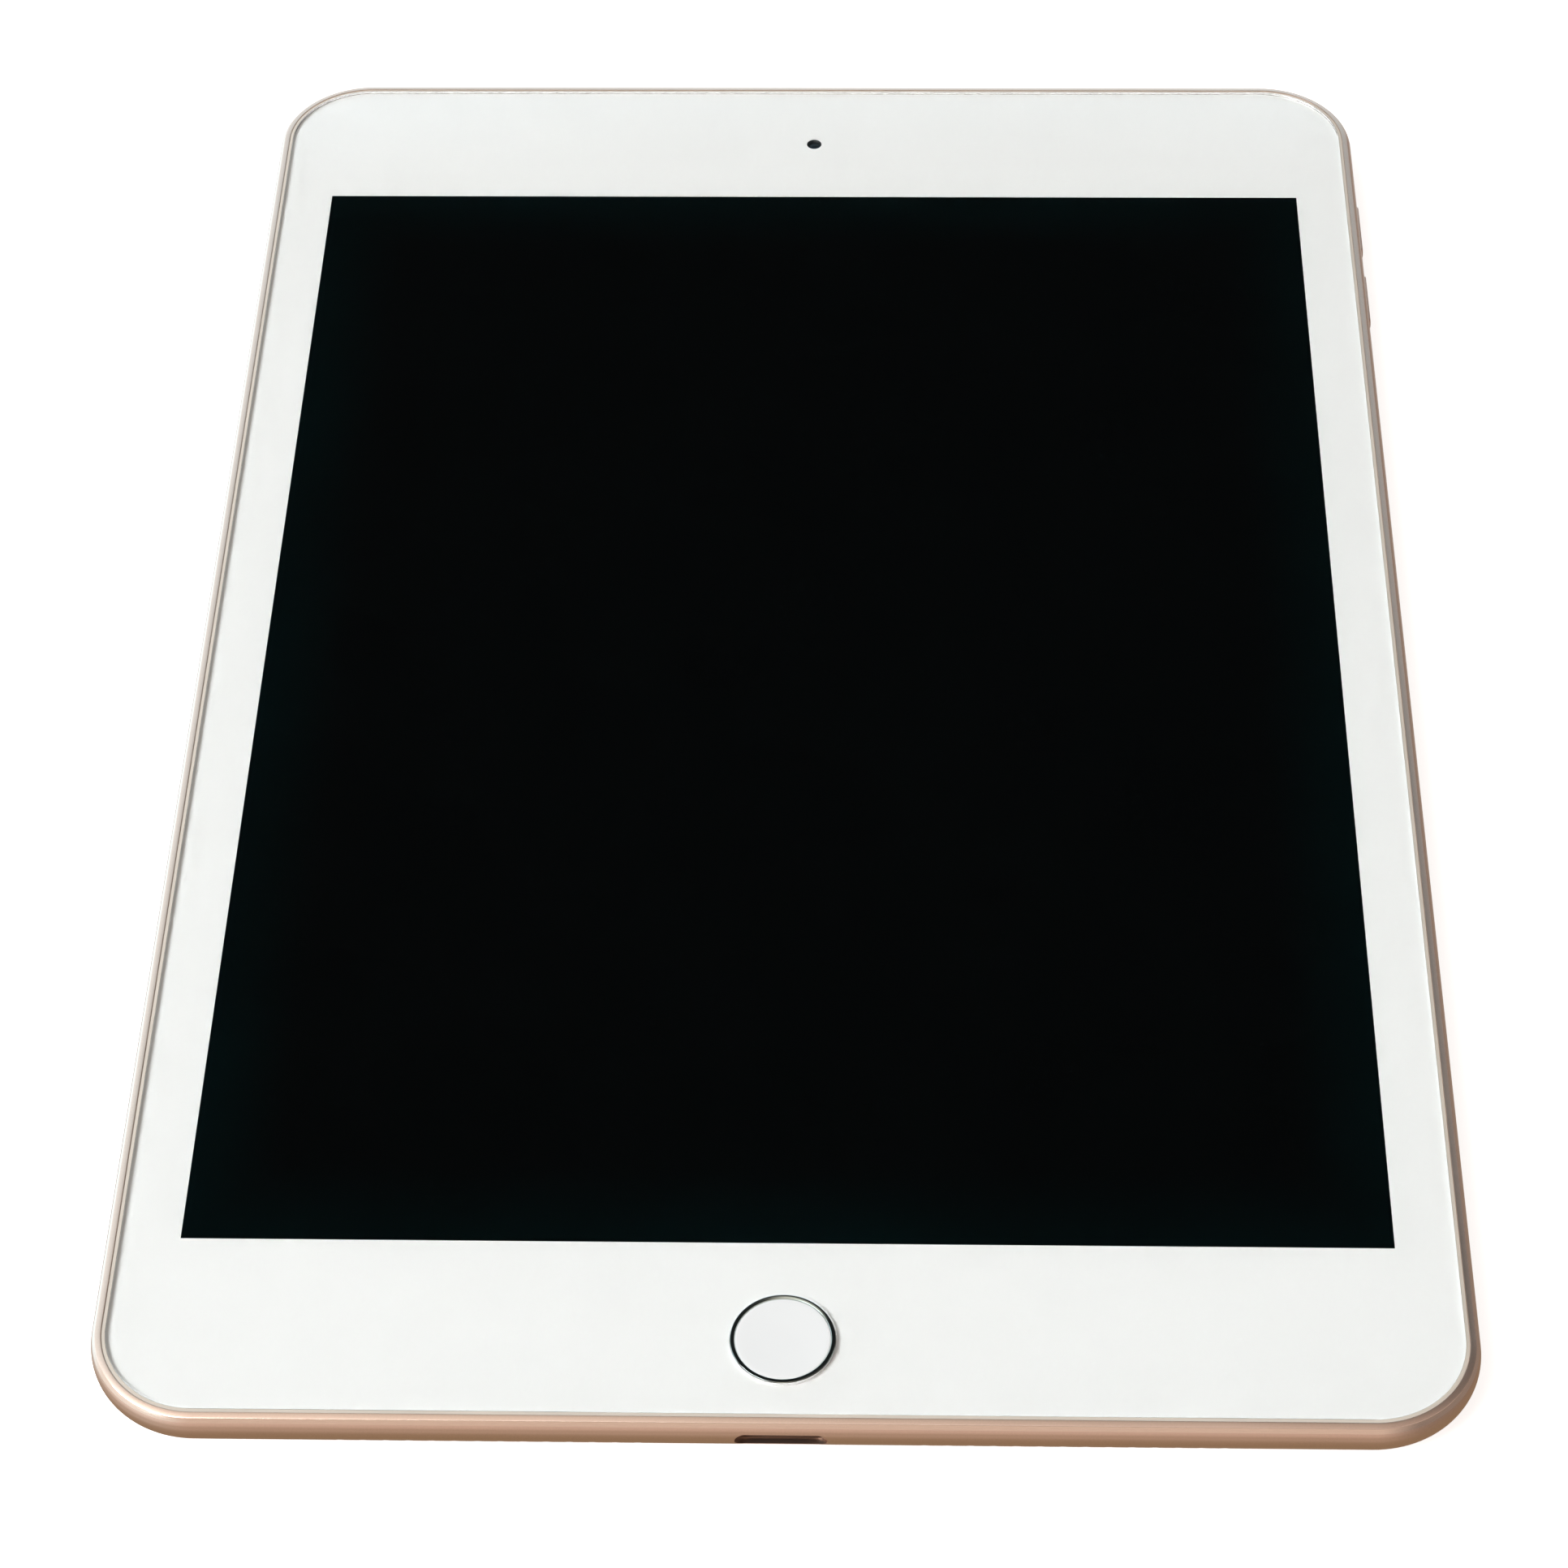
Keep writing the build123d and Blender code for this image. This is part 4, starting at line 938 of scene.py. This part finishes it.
# ---------------------------------------------------------------- floor, lights and camera
def build_floor():
    """A pale floor, and a round wall of the same paint that only the camera sees."""
    bm = bmesh.new()
    size = 6.0  # metres, as everything in the studio
    corners = ((-size, -size), (size, -size), (size, size), (-size, size))
    bm.faces.new([bm.verts.new((x, y, 0.0)) for x, y in corners])
    floor = mesh_object("studio_floor", bm)
    paint = plain("studio_floor", (0.72, 0.72, 0.72), 0.9, 2.0, 0.004)
    paint.shader.inputs["Emission Color"].default_value = (1, 1, 1, 1)
    paint.shader.inputs["Emission Strength"].default_value = 0.72
    floor.data.materials.append(paint.material)
    floor.visible_glossy = False
    bm = bmesh.new()
    wall = bmesh.ops.create_cone(bm, cap_ends=False, segments=96, radius1=size, radius2=size, depth=size)
    bmesh.ops.translate(bm, verts=wall["verts"], vec=(0, 0, size / 2))
    backdrop = mesh_object("studio_backdrop", bm)
    backdrop.data.materials.append(paint.material)
    for kind in ("glossy", "diffuse", "transmission", "shadow"):
        setattr(backdrop, "visible_" + kind, False)


def area_light(name, place, aim, size, power, colour):
    """A soft rectangular lamp that the camera doesn't see."""
    data = bpy.data.lights.new(name, "AREA")
    data.shape = "RECTANGLE"
    data.size, data.size_y = size
    data.energy = power
    data.color = colour
    lamp = bpy.data.objects.new(name, data)
    bpy.context.scene.collection.objects.link(lamp)
    lamp.location = place
    lamp.rotation_euler = (Vector(aim) - Vector(place)).to_track_quat("-Z", "Y").to_euler()
    lamp.visible_camera = False


class Sky:
    """The studio round the object, as a colour for each direction."""

    def __init__(self):
        self.world = bpy.data.worlds.new("studio")
        self.world.use_nodes = True
        self.tree = self.world.node_tree
        self.axes = self.tree.nodes.new("ShaderNodeSeparateXYZ")
        place = self.tree.nodes.new("ShaderNodeTexCoord")
        self.tree.links.new(place.outputs["Generated"], self.axes.inputs[0])

    def share(self, axis, start, end):
        """A smooth step from 0 to 1 as the direction's x, y or z goes from start to end."""
        made = self.tree.nodes.new("ShaderNodeMapRange")
        made.interpolation_type = "SMOOTHSTEP"
        self.tree.links.new(self.axes.outputs[axis], made.inputs["Value"])
        made.inputs["From Min"].default_value = start
        made.inputs["From Max"].default_value = end
        return made.outputs[0]

    def mixed(self, share, first, second):
        """The first colour where share is 0 and the second where it is 1."""
        made = self.tree.nodes.new("ShaderNodeMix")
        made.data_type = "RGBA"
        self.tree.links.new(share, made.inputs["Factor"])
        for socket, source in ((6, first), (7, second)):
            if isinstance(source, tuple):
                made.inputs[socket].default_value = (*source, 1)
            else:
                self.tree.links.new(source, made.inputs[socket])
        return made.outputs[2]

    def use(self, colour):
        self.tree.links.new(colour, self.tree.nodes["Background"].inputs["Color"])
        bpy.context.scene.world = self.world


def build_world():
    """Pale walls up to 38 degrees and a ceiling, with a dark band between them for the screen to mirror."""
    sky = Sky()
    near_wall, right_wall = (0.73, 0.59, 0.51), (0.30, 0.245, 0.215)
    far_foot, far_wall = (0.95, 0.96, 0.98), (0.86, 1.15, 1.32)
    left_foot, left_wall = (1.0, 0.98, 0.95), (1.15, 1.42, 1.58)
    under, dark = (0.32, 0.235, 0.15), (0.012, 0.013, 0.013)
    left_band, near_band = (0.9, 1.15, 1.25), (0.55, 0.46, 0.40)
    left_ceiling, right_ceiling = (0.92, 0.86, 0.76), (0.44, 0.35, 0.30)
    far = sky.mixed(sky.share("Z", 0.02, 0.25), far_foot, far_wall)
    walls = sky.mixed(sky.share("Y", -0.5, 0.5), near_wall, far)
    left = sky.mixed(sky.share("Y", 0.05, 0.45), left_foot, left_wall)
    walls = sky.mixed(sky.share("X", -0.15, -0.7), walls, left)
    walls = sky.mixed(sky.share("X", 0.15, 0.7), walls, right_wall)
    low = sky.mixed(sky.share("Z", -0.82, -0.3), under, walls)
    band = sky.mixed(sky.share("X", -0.27, -0.45), dark, left_band)
    band = sky.mixed(sky.share("Y", 0.05, 0.35), near_band, band)
    middle = sky.mixed(sky.share("Z", 0.612, 0.634), low, band)
    ceiling = sky.mixed(sky.share("X", -0.2, 0.2), left_ceiling, right_ceiling)
    wide = sky.mixed(sky.share("Z", 0.84, 0.90), middle, ceiling)
    narrow = sky.mixed(sky.share("Z", 0.91, 0.95), middle, ceiling)
    sky.use(sky.mixed(sky.share("X", -0.04, 0.03), wide, narrow))


def build_camera():
    """The camera at the near end, looking down on the tablet."""
    camera = bpy.data.objects.new("camera", bpy.data.cameras.new("camera"))
    bpy.context.scene.collection.objects.link(camera)
    camera.data.sensor_width = 36.0
    camera.data.lens = 96.04
    camera.data.clip_start = 0.01
    camera.location = (0.01026, -0.32329, 0.34101)
    camera.rotation_mode = "ZYX"
    camera.rotation_euler = (radians(42.246), radians(1.482), radians(0.321))
    bpy.context.scene.camera = camera


build_floor()
build_world()
area_light(
    "side_light", (-1.3, -0.75, 1.5), aim=(0, 0, 0), size=(1.6, 1.6), power=59.0, colour=(1.0, 1.02, 1.05)
)
build_camera()
bpy.context.scene.view_settings.view_transform = "Standard"
